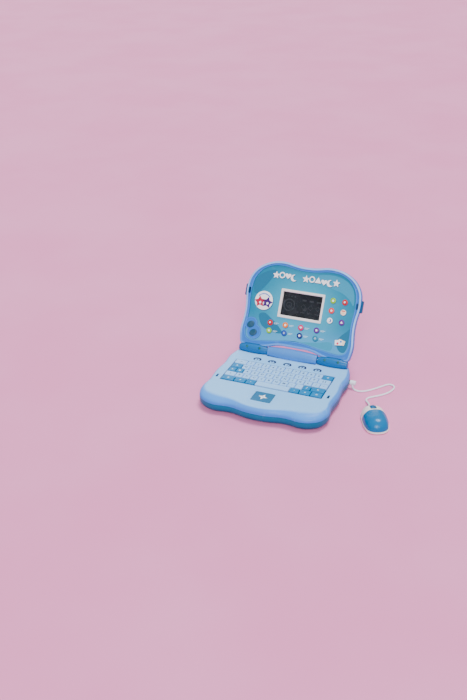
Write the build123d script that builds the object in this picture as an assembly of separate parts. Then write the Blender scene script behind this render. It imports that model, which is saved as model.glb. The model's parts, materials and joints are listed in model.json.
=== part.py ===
from build123d import *
import math
import os

# A toy laptop computer: a wavy base with a keyboard, a lid with a small LCD, and a corded mouse.
# Millimetres, +Z up, +X to the user's right, the user sits on the -Y side.
# The origin is on the table plane, straight below the middle of the hinge line.

# ---- driving dimensions ----------------------------------------------------------------
SKIN = 2.0                  # wall of every moulded shell
GAP = 0.3                   # clearance between pieces that move past each other
SEAM_GAP = 0.3              # open line between the two halves of a case

FLOOR_Z = 1.6               # underside of the base, carried on its foot strips
SEAM_Z = 18.0               # joint line between bottom shell and top cover
PLATEAU_Z = 30.0            # flat top of the base
UNDERCUT = 10.0             # how far the bottom shell curves in under the base

HINGE_Z = 34.65             # height of the hinge line, which runs along X over the origin
LID_TILT = 61.2             # lid above the horizontal when it is open, in degrees
BAND_N = 2.2                # lid frame band above the hinge plane, along the lid's normal
RIM_N = 4.1                 # top of the raised rim that meets the closed base
PANEL_N = 1.2               # printed face panel
LID_SEAM_N = -3.0           # joint line between lid frame and back shell
LID_BACK_N = -11.0          # outside of the lid's back
RIM_WIDTH = 3.6

KEY_UNIT = 14.54            # pitch of a one-unit key
ROW_PITCH = 15.36
ROW_UNITS = 13
KEYBOARD_Y = -79.5          # middle of the keyboard
KEY_GAP = 1.0
KEY_TOP_Z = PLATEAU_Z + 1.2
KEY_BOTTOM_Z = PLATEAU_Z - 2.4

BARREL_INNER_X = 48.8       # lid hinge barrels lie between these, each side
BARREL_OUTER_X = 106.0
HANDLE_HALF = 48.0          # half length of the carry handle between them
PIN_RADIUS = 3.0
PIN_BORE_RADIUS = 3.06

SLOT_X = 105.0              # latch hooks and their slots
SLOT_Y = 108.0              # distance of the hooks from the hinge line

CELL_RADIUS = 7.0           # AA cell
CELL_LENGTH = 49.0
CELL_PITCH = 14.8

MOUSE_TURN = 26.7           # mouse turned this far from pointing along +Y, in degrees
MOUSE_REACH = 38.0          # from the middle of the mouse to its front
RELIEF_LENGTH = 8.0         # strain relief in front of the mouse
MOUSE_HEIGHT = 23.0
CORD_RADIUS = 1.6
RELIEF_Z = 4.4              # height at which the cord leaves the mouse

# Half outlines from the front middle round the +X side to the rear middle: the corners of a
# polygon whose every corner is rounded as far as its sides allow, as (x, y).
SEAM_HALF = [
    (18, -188.8), (50, -180.4), (83, -187), (111.6, -173), (120.4, -147), (115.2, -125), (118.8, -85),
    (114.4, -57), (118, -31), (112, -2), (101.6, 18), (86, 27.4),
]
PLATEAU_HALF = [
    (18, -181.6), (50, -168.2), (79, -161.4), (101, -157.4), (110, -141), (107.6, -122), (111, -85),
    (107, -57), (110.2, -31), (104.6, -4), (95.6, 14), (82, 22),
]
# Half outlines of the lid in its own plane: (x, distance up from the hinge line).
LID_HALF = [
    (33, 14.2), (60, 5), (94, 3.6), (106.4, 6.4), (111.2, 30), (106.2, 70), (111.8, 108), (109, 134),
    (95, 154), (72, 167), (45, 171), (14, 164.8),
]
PANEL_HALF = [
    (14, 25.6), (50, 19), (84, 15), (97.6, 18.6), (102.2, 36), (98.6, 68), (102.2, 106), (98.6, 134),
    (84, 152.6), (66, 161), (44, 162.6), (14, 157.2),
]
# Half outline of the mouse from its rear to its front: (across, forward).
MOUSE_HALF = [(7, -40), (17.6, -33.5), (22, -17), (22, 5), (19.3, 25), (9.6, MOUSE_REACH)]

# The cord's route from the plug to the mouse, with the middle of the cord at each point.
CORD_ROUTE = [
    (121.4, -18.2, 6.6), (121.9, -18.9, 3.9), (124.2, -21.6, 1.9), (129, -24.8, CORD_RADIUS),
    (136, -26.0, CORD_RADIUS), (143.5, -23.6, CORD_RADIUS), (152, -16.4, CORD_RADIUS),
    (161.4, -5.6, CORD_RADIUS), (170.4, 6.2, CORD_RADIUS), (177.6, 15.9, CORD_RADIUS),
    (183.4, 17.5, CORD_RADIUS), (188.9, 15.2, CORD_RADIUS), (191.9, 10.0, CORD_RADIUS),
    (191.3, 1.8, CORD_RADIUS), (188.6, -7.0, CORD_RADIUS), (184.0, -15.4, CORD_RADIUS),
    (178.0, -22.9, CORD_RADIUS), (170.8, -29.8, CORD_RADIUS), (163.2, -36.2, CORD_RADIUS),
    (157.4, -41.8, CORD_RADIUS), (155.6, -48.8, CORD_RADIUS), (158.4, -55.4, 2.4),
    (163.731, -61.906, RELIEF_Z), (167.55, -69.5, RELIEF_Z),
]

ARC_REACH = 0.47            # share of a side that the arc at each end of it uses


# ---- shared shapes ---------------------------------------------------------------------
def whole(half):
    """The whole polygon of a half outline that runs from the middle line back to the middle line."""
    return half + [(-x, y) for x, y in reversed(half)]


def reaching_radii(points, closed):
    """For each corner, the radius whose arc uses up most of the shorter side next to it."""
    corners = points + points[:2] if closed else points
    radii = []
    for a, b, c in zip(corners, corners[1:], corners[2:]):
        before, after = Vector(*b) - Vector(*a), Vector(*c) - Vector(*b)
        turn = math.radians(before.get_angle(after))
        radii.append(ARC_REACH * min(before.length, after.length) / math.tan(turn / 2))
    return radii


def smooth_face(points, z=0.0, grow=0.0):
    """The flat face inside a rounded polygon at height z, with its outline moved outward by grow."""
    radii = reaching_radii(points, True)
    corners, moved_radii = [], []
    for i, (x, y) in enumerate(points):
        before = (Vector(x, y) - Vector(*points[i - 1])).normalized()
        after = (Vector(*points[(i + 1) % len(points)]) - Vector(x, y)).normalized()
        share = grow / (1 + before.dot(after))
        corners.append((x + share * (before.Y + after.Y), y - share * (before.X + after.X), z))
        bulges = before.cross(after).Z > 0
        moved_radii.append(radii[i - 1] + (grow if bulges else -grow))
    outline = FilletPolyline(*corners, radius=moved_radii, close=True)
    return Face(Wire(outline.edges()))


def slab(points, low, high, grow=0.0):
    """The rounded polygon as a straight-sided block from height low to height high."""
    return extrude(smooth_face(points, low, grow), high - low, dir=(0, 0, 1))


def pillow(low_points, high_points, low, high, steps=3, power=2.0):
    """A block whose side is a quarter superellipse of that power: upright at low, level at high."""
    sections = []
    for step in range(steps + 1):
        turn = math.radians(90 * step / steps)
        run = 1 - max(math.cos(turn), 0.0) ** (2 / power)
        rise = math.sin(turn) ** (2 / power)
        between = []
        for (ax, ay), (bx, by) in zip(low_points, high_points):
            between.append((ax + (bx - ax) * run, ay + (by - ay) * run))
        sections.append(smooth_face(between, low + (high - low) * rise))
    return loft(sections)


def block(x_range, y_range, z_range, radius=0.0):
    """A box between the given limits, with its upright edges rounded."""
    (x0, x1), (y0, y1), (z0, z1) = x_range, y_range, z_range
    middle = ((x0 + x1) / 2, (y0 + y1) / 2, z0)
    shape = RectangleRounded(x1 - x0, y1 - y0, radius) if radius else Rectangle(x1 - x0, y1 - y0)
    return extrude(Location(middle) * shape, z1 - z0)


def centred(x, y, width, depth):
    """The limits of a rectangle about (x, y), as block takes them."""
    return (x - width / 2, x + width / 2), (y - depth / 2, y + depth / 2)


def rod(radius, start, end):
    """A round rod between two points."""
    axis = Vector(*end) - Vector(*start)
    return Solid.make_cylinder(radius, axis.length, Plane(origin=start, z_dir=axis))


def both_sides(shape):
    """The shape and its mirror image on the -X side."""
    return [shape, mirror(shape, about=Plane.YZ)]


def joined(shapes):
    """One compound of separate solids."""
    solids = []
    for shape in shapes:
        solids.extend(shape.solids())
    return Compound(children=solids)


def barrel(low, high, radii):
    """A swelling barrel along X about the origin: radii at its start, middle and end."""
    start, middle, end = radii
    profile = Wire([
        Line((low, 0), (low, start)),
        ThreePointArc((low, start), ((low + high) / 2, middle), (high, end)),
        Line((high, end), (high, 0)),
        Line((high, 0), (low, 0)),
    ])
    return revolve(Face(profile), Axis.X)


BARREL_RADII = (6.6, 9.35, 6.2)
HANDLE_RADII = (8.8, 11.3, 8.8)
HINGE = Location((0, 0, HINGE_Z))
LID_PLACE = Location((0, 0, HINGE_Z), (LID_TILT, 0, 0))
MOUSE_BACK = MOUSE_REACH + RELIEF_LENGTH
MOUSE_AT = (
    CORD_ROUTE[-1][0] + MOUSE_BACK * math.sin(math.radians(MOUSE_TURN)),
    CORD_ROUTE[-1][1] - MOUSE_BACK * math.cos(math.radians(MOUSE_TURN)),
)
MOUSE_PLACE = Location((*MOUSE_AT, 0), (0, 0, MOUSE_TURN))

seam = whole(SEAM_HALF)
plateau = whole(PLATEAU_HALF)
lid_outline = whole(LID_HALF)
panel_outline = whole(PANEL_HALF)
mouse_outline = whole(MOUSE_HALF)


# ---- base ------------------------------------------------------------------------------
KEYBOARD_WIDTH = ROW_UNITS * KEY_UNIT
KEYBOARD_DEPTH = 5 * ROW_PITCH
TOUCHPAD_Y = -149.3
TOUCHPAD_SIZE = (36.4, 30.0)
NOTCH_HALF = 44.0           # the finger space under the carry handle
NOTCH_Y = -6.0
JACK_Y = -18.0
JACK_Z = 12.0
BATTERY_Y = -130.0
BATTERY_ROOF_Z = 21.5
DOOR_SIZE = (58.0, 50.0)
DOOR_HINGE_Y = BATTERY_Y - 25.0
DOOR_HINGE_Z = 2.6
SPEAKER_AT = (-66.0, -62.0)
BASE_SCREWS = [(60, -156), (94, -131), (88, -32)]
SCREW_POST_RADIUS = 4.2
FRONT_FOOT_Y = -165.0
REAR_FOOT_Y = -16.0


def finger_notch(skin):
    """The space under the carry handle, made larger all round by skin."""
    half = NOTCH_HALF + skin
    return block((-half, half), (NOTCH_Y - skin, 40), (-10, 50), 5)


def hinge_beds():
    """The hollows that the two lid barrels and the handle lie in."""
    inner, outer = BARREL_INNER_X - 0.6, BARREL_OUTER_X + 0.6
    profile = Polyline((inner, 0), (inner, 7.5), (inner + 8, 9.2), (inner + 20, 10.2), (outer - 20, 10.2),
                       (outer - 8, 8.9), (outer, 7.2), (outer, 0), close=True)
    beds = both_sides(revolve(make_face(profile), Axis.X))
    reach = HANDLE_HALF + 0.05
    handle = rod(HANDLE_RADII[1] + 0.05, (-reach, 0, 0), (reach, 0, 0))
    return HINGE * (beds[0] + beds[1] + handle)


def latch_slot():
    """One slot in the cover for a latch hook, on the +X side."""
    return block((SLOT_X - 2.2, SLOT_X + 1.8), (-SLOT_Y - 5.3, -SLOT_Y + 5.3), (20, 40), 0.9)


def top_cover():
    """The upper half of the base, with the key well, touchpad hole, hinge beds and latch slots."""
    low_z = SEAM_Z + SEAM_GAP / 2
    step_z = SEAM_Z + 6
    cover = pillow(seam, plateau, low_z, PLATEAU_Z) - finger_notch(0)
    hollow = slab(seam, low_z - 1, step_z, -2.4 * SKIN)
    hollow += slab(plateau, step_z - 1, PLATEAU_Z - SKIN, -SKIN)
    bed_walls = block((-BARREL_OUTER_X - 3, BARREL_OUTER_X + 3), (-14, 40), (PLATEAU_Z - 9, PLATEAU_Z))
    cover -= hollow - finger_notch(SKIN) - bed_walls
    well = centred(0, KEYBOARD_Y, KEYBOARD_WIDTH + 1.4, KEYBOARD_DEPTH + 1.4)
    curb = centred(0, KEYBOARD_Y, KEYBOARD_WIDTH + 4.6, KEYBOARD_DEPTH + 4.6)
    cover += block(*curb, (PLATEAU_Z - 4.6, PLATEAU_Z - 1), 2.5)
    cover -= block(*well, (PLATEAU_Z - 6, PLATEAU_Z + 1), 1.6)
    pad = (TOUCHPAD_SIZE[0] + 0.8, TOUCHPAD_SIZE[1] + 0.8)
    border = block(*centred(0, TOUCHPAD_Y, pad[0] + 11, pad[1] + 10), (PLATEAU_Z - 1, PLATEAU_Z + 0.3), 6)
    border -= block(*centred(0, TOUCHPAD_Y, pad[0] + 8, pad[1] + 7), (PLATEAU_Z - 2, PLATEAU_Z + 1), 4.8)
    cover += border
    cover -= block(*centred(0, TOUCHPAD_Y, *pad), (PLATEAU_Z - 4, PLATEAU_Z + 1), 3)
    cover -= hinge_beds()
    for x, y in screw_places(BASE_SCREWS):
        cover += rod(SCREW_POST_RADIUS, (x, y, SEAM_Z - 0.8), (x, y, PLATEAU_Z - 1))
        cover -= rod(1.5, (x, y, SEAM_Z - 2), (x, y, PLATEAU_Z - 4))
    for slot in both_sides(latch_slot()):
        cover -= slot
    return cover


def battery_bay(skin):
    """The room for three cells, open below, made larger by skin at its sides and top."""
    width, depth = 54 + 2 * skin, 46 + 2 * skin
    return block(*centred(0, BATTERY_Y, width, depth), (0, BATTERY_ROOF_Z - SKIN + skin), 2)


def speaker_slots():
    """Slots in the shell under the speaker."""
    slots = []
    for offset in (-12, -6, 0, 6, 12):
        length = 2 * math.sqrt(18 ** 2 - offset ** 2)
        x, y = SPEAKER_AT
        slots.append(block(*centred(x, y + offset, length, 2.2), (0, 6), 1))
    return slots


def screw_posts():
    """Posts in the bottom shell that take the case screws, one for each place."""
    return [rod(SCREW_POST_RADIUS, (x, y, 3), (x, y, SEAM_Z - 1)) for x, y in screw_places(BASE_SCREWS)]


def screw_places(half_places):
    """Places on both sides of the middle line."""
    return half_places + [(-x, y) for x, y in half_places]


def bottom_shell():
    """The lower half of the base, with the battery bay, screw posts and mouse socket hole."""
    high_z = SEAM_Z - SEAM_GAP / 2
    shell = slab(seam, FLOOR_Z, high_z)
    shell = fillet(shell.edges().group_by(Axis.Z)[0], UNDERCUT) - finger_notch(0)
    hollow = slab(seam, FLOOR_Z + SKIN, high_z + 1, -SKIN)
    hollow = fillet(hollow.edges().group_by(Axis.Z)[0], UNDERCUT - SKIN)
    shell -= hollow - finger_notch(SKIN)
    lip = slab(seam, SEAM_Z - 4, SEAM_Z + 1.6, -2.7 * SKIN)
    lip -= slab(seam, SEAM_Z - 5, SEAM_Z + 3, -3.3 * SKIN)
    shelf = slab(seam, SEAM_Z - 4, SEAM_Z - 2.6, -SKIN + 0.2)
    lip += shelf - slab(seam, SEAM_Z - 5, SEAM_Z + 3, -3 * SKIN)
    lip -= block((-HANDLE_HALF - 8, HANDLE_HALF + 8), (NOTCH_Y - 16, 40), (0, 40))
    shell += lip
    for post in screw_posts():
        shell += post
    shell += battery_bay(SKIN) & block((-60, 60), (-180, -100), (FLOOR_Z, 25))
    rim = centred(0, BATTERY_Y, DOOR_SIZE[0] + 8, DOOR_SIZE[1] + 8)
    shell += block(*rim, (DOOR_HINGE_Z, DOOR_HINGE_Z + 3), 3)
    shell -= battery_bay(0)
    door = centred(0, BATTERY_Y, DOOR_SIZE[0] + 1.2, DOOR_SIZE[1] + 2.4)
    shell -= block(*door, (0, DOOR_HINGE_Z + 1.1), 1)
    for x, y in screw_places(BASE_SCREWS):
        shell -= rod(3.3, (x, y, 0), (x, y, 4.6))
        shell -= rod(1.5, (x, y, 4), (x, y, SEAM_Z + 2))
    for slot in speaker_slots():
        shell -= slot
    shell -= rod(4.3, (100, JACK_Y, JACK_Z), (130, JACK_Y, JACK_Z))
    return shell


def battery_door():
    """The door under the cells. It swings on its front edge, which is rounded about the hinge line."""
    front = DOOR_HINGE_Y
    rear = BATTERY_Y + DOOR_SIZE[1] / 2
    half = DOOR_SIZE[0] / 2
    thickness = 1.8
    low, high = DOOR_HINGE_Z - thickness / 2, DOOR_HINGE_Z + thickness / 2
    door = block((-half, half), (front, rear), (low, high))
    door += rod(thickness / 2, (-half, front, DOOR_HINGE_Z), (half, front, DOOR_HINGE_Z))
    for step in range(5):
        y = BATTERY_Y - 8 + 4 * step
        door -= block(*centred(0, y, 18, 1.4), (low - 1, low + 0.5), 0.6)
    door -= rod(2.9, (0, rear - 5, low - 1), (0, rear - 5, low + 0.8))
    door -= rod(1.4, (0, rear - 5, low), (0, rear - 5, high + 1))
    return door


def cross_head_screw(radius, shank_radius, head, length):
    """A screw standing on its head at the origin, with a cross recess below and its shank upward."""
    screw = rod(radius, (0, 0, 0), (0, 0, head)) + rod(shank_radius, (0, 0, head), (0, 0, head + length))
    screw = fillet(screw.edges().group_by(Axis.Z)[0], 0.35)
    for size in ((radius * 1.2, 0.7), (0.7, radius * 1.2)):
        screw -= block(*centred(0, 0, *size), (-1, 0.6))
    return screw


def battery_door_screw():
    """The captive screw at the rear of the battery door."""
    rear = BATTERY_Y + DOOR_SIZE[1] / 2 - 5
    return Location((0, rear, DOOR_HINGE_Z - 0.9 + 0.1)) * cross_head_screw(2.6, 1.3, 0.7, 0.95)


def aa_cells():
    """Three cells side by side along X, each with its raised positive end."""
    cells = []
    for index in (-1, 0, 1):
        y = BATTERY_Y + index * CELL_PITCH
        z = DOOR_HINGE_Z + 1.6 + CELL_RADIUS
        sign = 1 if index == 0 else -1
        half = CELL_LENGTH / 2
        cell = rod(CELL_RADIUS, (-sign * half, y, z), (sign * half, y, z))
        cell = fillet(cell.edges(), 0.6)
        cells.append(cell + rod(2.6, (sign * half, y, z), (sign * (half + 1.2), y, z)))
    return joined(cells)


def battery_contacts():
    """A spring or a plate for each end of each cell."""
    pieces = []
    for index in (-1, 0, 1):
        y = BATTERY_Y + index * CELL_PITCH
        z = DOOR_HINGE_Z + 1.6 + CELL_RADIUS
        sign = 1 if index == 0 else -1
        wall = 27.0
        plate = centred(sign * (wall - 0.35), y, 0.5, 9)
        pieces.append(block(*plate, (z - 4, z + 4)))
        start = sign * -(wall - 0.2)
        pieces.append(Solid.make_cone(3.6, 2.2, 2.1, Plane(origin=(start, y, z), z_dir=(sign, 0, 0))))
    return joined(pieces)


def base_screws():
    """The case screws under the base."""
    screw = cross_head_screw(2.8, 1.4, 1.4, 20)
    return joined([Location((x, y, 3.1)) * screw for x, y in screw_places(BASE_SCREWS)])


def foot_strips():
    """Two rubber strips that the base stands on: one at the front, one round the finger notch."""
    front = block(*centred(0, FRONT_FOOT_Y, 130, 6), (0, FLOOR_Z), 2.5)
    bar = block(*centred(0, REAR_FOOT_Y, 124, 7), (0, FLOOR_Z), 2.5)
    legs = both_sides(block((55, 62), (REAR_FOOT_Y - 3.5, 11), (0, FLOOR_Z), 2.5))
    rear = bar + legs[0] + legs[1]
    return joined([fillet(foot.edges().group_by(Axis.Z)[0], 0.4) for foot in (front, rear)])


def speaker():
    """A round speaker over the slots: magnet, basket and rim."""
    x, y = SPEAKER_AT
    low = FLOOR_Z + SKIN + 0.1
    rim = rod(20, (x, y, low), (x, y, low + 1.6))
    basket = Solid.make_cone(18, 10, 5.5, Plane(origin=(x, y, low + 1.6)))
    return rim + basket + rod(10, (x, y, low + 7.1), (x, y, low + 12))


def main_board():
    """The main circuit board with its round black chip cover and a few parts."""
    board = block((-28, 70), (-104, -52), (9.0, 10.6), 1)
    board += rod(9, (20, -78, 10.6), (20, -78, 12.4))
    for x in (-10, 0, 44, 54):
        board += rod(2.5, (x, -94, 10.6), (x, -94, 17))
    return board


def mouse_jack():
    """The socket in the right side of the base: a nose in the wall and a body behind it."""
    jack = rod(4.2, (103, JACK_Y, JACK_Z), (116.2, JACK_Y, JACK_Z))
    jack += block((92, 106), (JACK_Y - 5, JACK_Y + 5), (JACK_Z - 5, JACK_Z + 5), 0.8)
    return jack - rod(1.8, (98, JACK_Y, JACK_Z), (120, JACK_Y, JACK_Z))


def carry_handle():
    """The fixed hollow barrel in the middle of the hinge line, which is also the carry handle."""
    handle = barrel(-HANDLE_HALF, HANDLE_HALF, HANDLE_RADII)
    handle = fillet(handle.edges().filter_by(GeomType.CIRCLE), 1.0)
    hollow = barrel(-26, 26, (7.5, 9.0, 7.5))
    handle = handle - hollow - rod(PIN_RADIUS + 0.02, (-60, 0, 0), (60, 0, 0))
    return HINGE * handle


def hinge_pins():
    """Two hollow steel pins. Each is held in the handle's end and turns in a lid barrel."""
    pin = rod(PIN_RADIUS, (24, 0, 0), (66, 0, 0)) - rod(2.1, (20, 0, 0), (70, 0, 0))
    return HINGE * joined(both_sides(pin))


def hinge_cable():
    """The lid's cable where it passes through the handle and the left hinge pin, on the hinge line."""
    return HINGE * rod(1.7, (20, 0, 0), (-69, 0, 0))


def touchpad_button():
    """The touchpad plate in front of the keys, which is one large button with a flange below."""
    width, depth = TOUCHPAD_SIZE
    low = PLATEAU_Z - SKIN - 2.2
    plate = block(*centred(0, TOUCHPAD_Y, width, depth), (low, PLATEAU_Z + 0.3), 2.7)
    plate = fillet(plate.edges().group_by(Axis.Z)[-1], 0.5)
    return plate + block(*centred(0, TOUCHPAD_Y, width + 5, depth + 5), (low, low + 1.6), 3)


def keyboard_board():
    """The thin board under the key mat."""
    size = centred(0, KEYBOARD_Y, KEYBOARD_WIDTH - 1, KEYBOARD_DEPTH - 1)
    return block(*size, (PLATEAU_Z - 7.2, PLATEAU_Z - 6.0), 2)


def key_mat():
    """The rubber mat under the keys, with a small dome for each key."""
    size = centred(0, KEYBOARD_Y, KEYBOARD_WIDTH - 0.6, KEYBOARD_DEPTH - 0.6)
    mat = block(*size, (PLATEAU_Z - 5.9, PLATEAU_Z - 4.8), 2)
    domes = []
    for row in KEY_ROWS:
        for key in row["keys"]:
            x, y = key_middle(row, key)
            plane = Plane(origin=(x, y, PLATEAU_Z - 4.8))
            domes.append(Solid.make_cone(3.2, 1.8, 1.0, plane))
    return mat + domes


# ---- keys ------------------------------------------------------------------------------
def key_rows():
    """Every key as (node, left edge in units, width in units), row by row from the rear."""
    letters = [1.0] * 10
    plans = [
        [("number_keys", [1.65] + letters), ("key_erase", [1.35])],
        [("key_tab", [1.4]), ("upper_letter_keys", letters + [1.6])],
        [("key_left_a", [1.0]), ("key_left_b", [1.0]), ("middle_letter_keys", letters + [1.0])],
        [("lower_letter_keys", [1.4] + [8.8 / 9] * 9), ("key_right_a", [1.0]), ("key_right_b", [1.8])],
        [("key_bottom_1", [1.7]), ("key_bottom_2", [1.5]), ("key_bottom_3", [1.25]), ("space_bar", [4.4]),
         ("key_bottom_4", [1.25]), ("key_bottom_5", [1.45]), ("key_bottom_6", [1.45])],
    ]
    rows = []
    for number, plan in enumerate(plans):
        keys, edge = [], 0.0
        for node, widths in plan:
            for width in widths:
                keys.append((node, edge, width))
                edge += width
        y = KEYBOARD_Y + (2 - number) * ROW_PITCH
        rows.append({"y": y, "keys": keys})
    return rows


def key_middle(row, key):
    """The middle of a key on the keyboard."""
    node, edge, width = key
    return (edge + width / 2 - ROW_UNITS / 2) * KEY_UNIT, row["y"]


def key_cap(x, y, width):
    """One key cap with drafted sides and rounded edges."""
    size = RectangleRounded(width * KEY_UNIT - KEY_GAP, ROW_PITCH - KEY_GAP, 1.4)
    height = KEY_TOP_Z - KEY_BOTTOM_Z
    cap = extrude(Location((x, y, KEY_BOTTOM_Z)) * size, height, taper=7)
    return fillet(cap.edges().group_by(Axis.Z)[-1], 0.5)


def keys():
    """The key nodes: blue keys one by one, and the light keys of a row on one thin strip."""
    nodes = {}
    for row in KEY_ROWS:
        for key in row["keys"]:
            nodes.setdefault(key[0], []).append((*key_middle(row, key), key[2]))
    made = {}
    for node, caps in nodes.items():
        strip = key_cap(*caps[0])
        for cap in caps[1:]:
            strip += key_cap(*cap)
        if len(caps) > 1:
            strip += block((caps[0][0], caps[-1][0]), (caps[0][1] - 2.5, caps[0][1] + 2.5),
                           (KEY_BOTTOM_Z, KEY_BOTTOM_Z + 0.8))
        made[node] = strip
    return made


KEY_ROWS = key_rows()


# ---- lid, modelled lying flat: X across, Y up the lid, Z out of its face ------------------
ISLAND = [(-91.0, 46.0, 12.6), (-83.0, 32.0, 13.8)]     # rounds of the raised island
OVALS = [("oval_button_upper", -91.5, 44.4), ("oval_button_lower", -84.0, 29.8)]
OVAL_SIZE = (15.0, 11.6)
OVAL_TURN = 30.0
LCD_AT = (0.0, 93.4)
LCD_FRAME = (85.0, 53.6)
LCD_VIEW = (76.0, 44.0)
PANEL_FLOOR_N = -0.3
FLOOR_LOW_N = PANEL_FLOOR_N - SKIN
LID_SCREWS = [(88, 141), (72, 49)]
HINGE_SCREWS = (63.8, 89.1)
HINGE_SCREW_S = 2.5
LATCH_S = (97.2, 119.8)


def oval(x, s, grow, low, high):
    """An upright oval post on the lid, grown by grow all round."""
    shape = Ellipse(OVAL_SIZE[0] / 2 + grow, OVAL_SIZE[1] / 2 + grow)
    return extrude(Location((x, s, low), (0, 0, OVAL_TURN)) * shape, high - low)


def island(grow, low, high):
    """The two joined rounds that carry the oval buttons."""
    rounds = [rod(radius + grow, (x, s, low), (x, s, high)) for x, s, radius in ISLAND]
    return rounds[0] + rounds[1]


def lid_barrel_room():
    """The room for the two hinge barrels along the lid's lower edge."""
    inner, outer = BARREL_INNER_X - 0.4, BARREL_OUTER_X + 0.4
    profile = Polyline((inner, 0), (inner, 7.3), (inner + 8, 8.9), (inner + 20, 9.8), (outer - 20, 9.8),
                       (outer - 8, 8.6), (outer, 6.9), (outer, 0), close=True)
    return both_sides(revolve(make_face(profile), Axis.X))


def latch_windows():
    """Windows in the lid's sides for the latch buttons, and slots in its face for their hooks."""
    window = block((103.0, 120), (LATCH_S[0] - GAP, LATCH_S[1] + GAP), (-6.2, -0.2))
    slot = block((SLOT_X - 2.3, SLOT_X + 1.8), (SLOT_Y - 5.6, SLOT_Y + 5.6), (-4, 6), 0.9)
    return both_sides(window + slot)


def lid_front_frame():
    """The lid's front: a raised rim, a lower band, and a pocket for the printed panel."""
    frame = slab(lid_outline, LID_SEAM_N, RIM_N)
    frame = fillet(frame.edges().group_by(Axis.Z)[-1], 2.2)
    band = slab(lid_outline, BAND_N, RIM_N + 2, -RIM_WIDTH)
    frame -= fillet(band.edges().group_by(Axis.Z)[0], 1.4)
    bead = slab(panel_outline, BAND_N - 1, BAND_N + 0.4, 1.8)
    frame += fillet(bead.edges().group_by(Axis.Z)[-1], 0.35)
    frame -= slab(panel_outline, PANEL_FLOOR_N, RIM_N + 2)
    raised = island(0, PANEL_FLOOR_N, BAND_N + 0.3)
    raised = fillet(raised.edges().group_by(Axis.Z)[-1], 0.7)
    raised -= island(-1.6, BAND_N - 0.1, BAND_N + 1)
    frame += raised & slab(lid_outline, PANEL_FLOOR_N, RIM_N, -RIM_WIDTH - 0.4)
    hollow = slab(lid_outline, LID_SEAM_N - 1, BAND_N - SKIN, -SKIN - 0.2)
    frame -= hollow - slab(panel_outline, FLOOR_LOW_N, RIM_N, 1.6)
    for x, s in screw_places(LID_SCREWS):
        frame += rod(3.2, (x, s, LID_SEAM_N), (x, s, PANEL_FLOOR_N - 1))
        frame -= rod(1.3, (x, s, LID_SEAM_N - 1), (x, s, PANEL_FLOOR_N - 0.8))
    frame -= block(*centred(*LCD_AT, LCD_VIEW[0] + 4, LCD_VIEW[1] + 4.4), (-5, 3), 1)
    for node, x, s in OVALS:
        frame -= oval(x, s, 0.35, -6, 6)
    for room in lid_barrel_room() + latch_windows():
        frame -= room
    return frame


def back_emboss(low, high, shrink=0.0):
    """The raised rounded trapezoid on the lid's back."""
    top, bottom = 78 - shrink, 58 - shrink
    corners = [(-bottom, 38 + shrink), (bottom, 38 + shrink), (top, 140 - shrink), (-top, 140 - shrink)]
    wire = FilletPolyline(*corners, radius=18 - shrink, close=True)
    return extrude(Location((0, 0, low)) * make_face(wire), high - low)


def lid_back_shell():
    """The lid's back: a rounded shell with a raised panel, screw bosses and room for the latches."""
    shell = slab(lid_outline, LID_BACK_N, LID_SEAM_N - SEAM_GAP)
    shell = fillet(shell.edges().group_by(Axis.Z)[0], 4.5)
    emboss = back_emboss(LID_BACK_N - 0.8, LID_BACK_N + 1)
    shell += fillet(emboss.edges().group_by(Axis.Z)[0], 0.6)
    inner = slab(lid_outline, LID_BACK_N + SKIN, LID_SEAM_N + 1, -SKIN - 0.2)
    shell -= fillet(inner.edges().group_by(Axis.Z)[0], 2.8)
    for x, s in screw_places(LID_SCREWS):
        shell += rod(4.6, (x, s, LID_BACK_N + 1), (x, s, LID_SEAM_N - SEAM_GAP - 0.2))
        shell -= rod(3.0, (x, s, LID_BACK_N - 2), (x, s, LID_BACK_N + 2.6))
        shell -= rod(1.4, (x, s, LID_BACK_N), (x, s, LID_SEAM_N))
    for tab in both_sides(hinge_tab(0.3)):
        shell -= tab
    for room in lid_barrel_room() + latch_windows():
        shell -= room
    return shell


def face_panel():
    """The printed panel that fills the pocket in the lid's face."""
    panel = slab(panel_outline, PANEL_FLOOR_N + 0.1, PANEL_N, -0.25)
    panel = fillet(panel.edges().group_by(Axis.Z)[-1], 0.35)
    panel -= island(0.25, -2, 4)
    return panel - block(*centred(*LCD_AT, LCD_VIEW[0] + 4, LCD_VIEW[1] + 4.4), (-5, 3), 1)


def lcd_bezel():
    """The white frame round the display, with a lip down through the panel."""
    bezel = block(*centred(*LCD_AT, *LCD_FRAME), (PANEL_N + 0.05, PANEL_N + 1.4), 1.6)
    bezel = fillet(bezel.edges().group_by(Axis.Z)[-1], 0.5)
    bezel += block(*centred(*LCD_AT, LCD_VIEW[0] + 3.4, LCD_VIEW[1] + 3.8), (-2.2, PANEL_N + 1), 0.8)
    opening = block(*centred(*LCD_AT, *LCD_VIEW), (-6, 4), 0.8)
    mouth = Location((*LCD_AT, PANEL_N + 1.4)) * Rectangle(LCD_VIEW[0] + 2, LCD_VIEW[1] + 2)
    slope = extrude(mouth, -1.6, taper=32)
    return bezel - opening - slope


def lcd_window():
    """The clear window inside the bezel."""
    return block(*centred(*LCD_AT, LCD_VIEW[0] - 0.3, LCD_VIEW[1] - 0.3), (-0.4, 0.8), 0.6)


def lcd_module():
    """The dark LCD glass behind the window."""
    glass = block(*centred(*LCD_AT, LCD_VIEW[0] - 0.8, LCD_VIEW[1] - 0.8), (-2.4, -0.6), 0.5)
    return glass + block(*centred(*LCD_AT, LCD_VIEW[0] + 8, LCD_VIEW[1] + 8), (-5.2, -2.5), 1)


def lid_board():
    """The lid's circuit board behind the display."""
    board = block((-72, 72), (66, 122), (-8.2, -6.8), 1)
    return board + rod(7, (52, 96, -6.8), (52, 96, -5.6))


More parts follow.
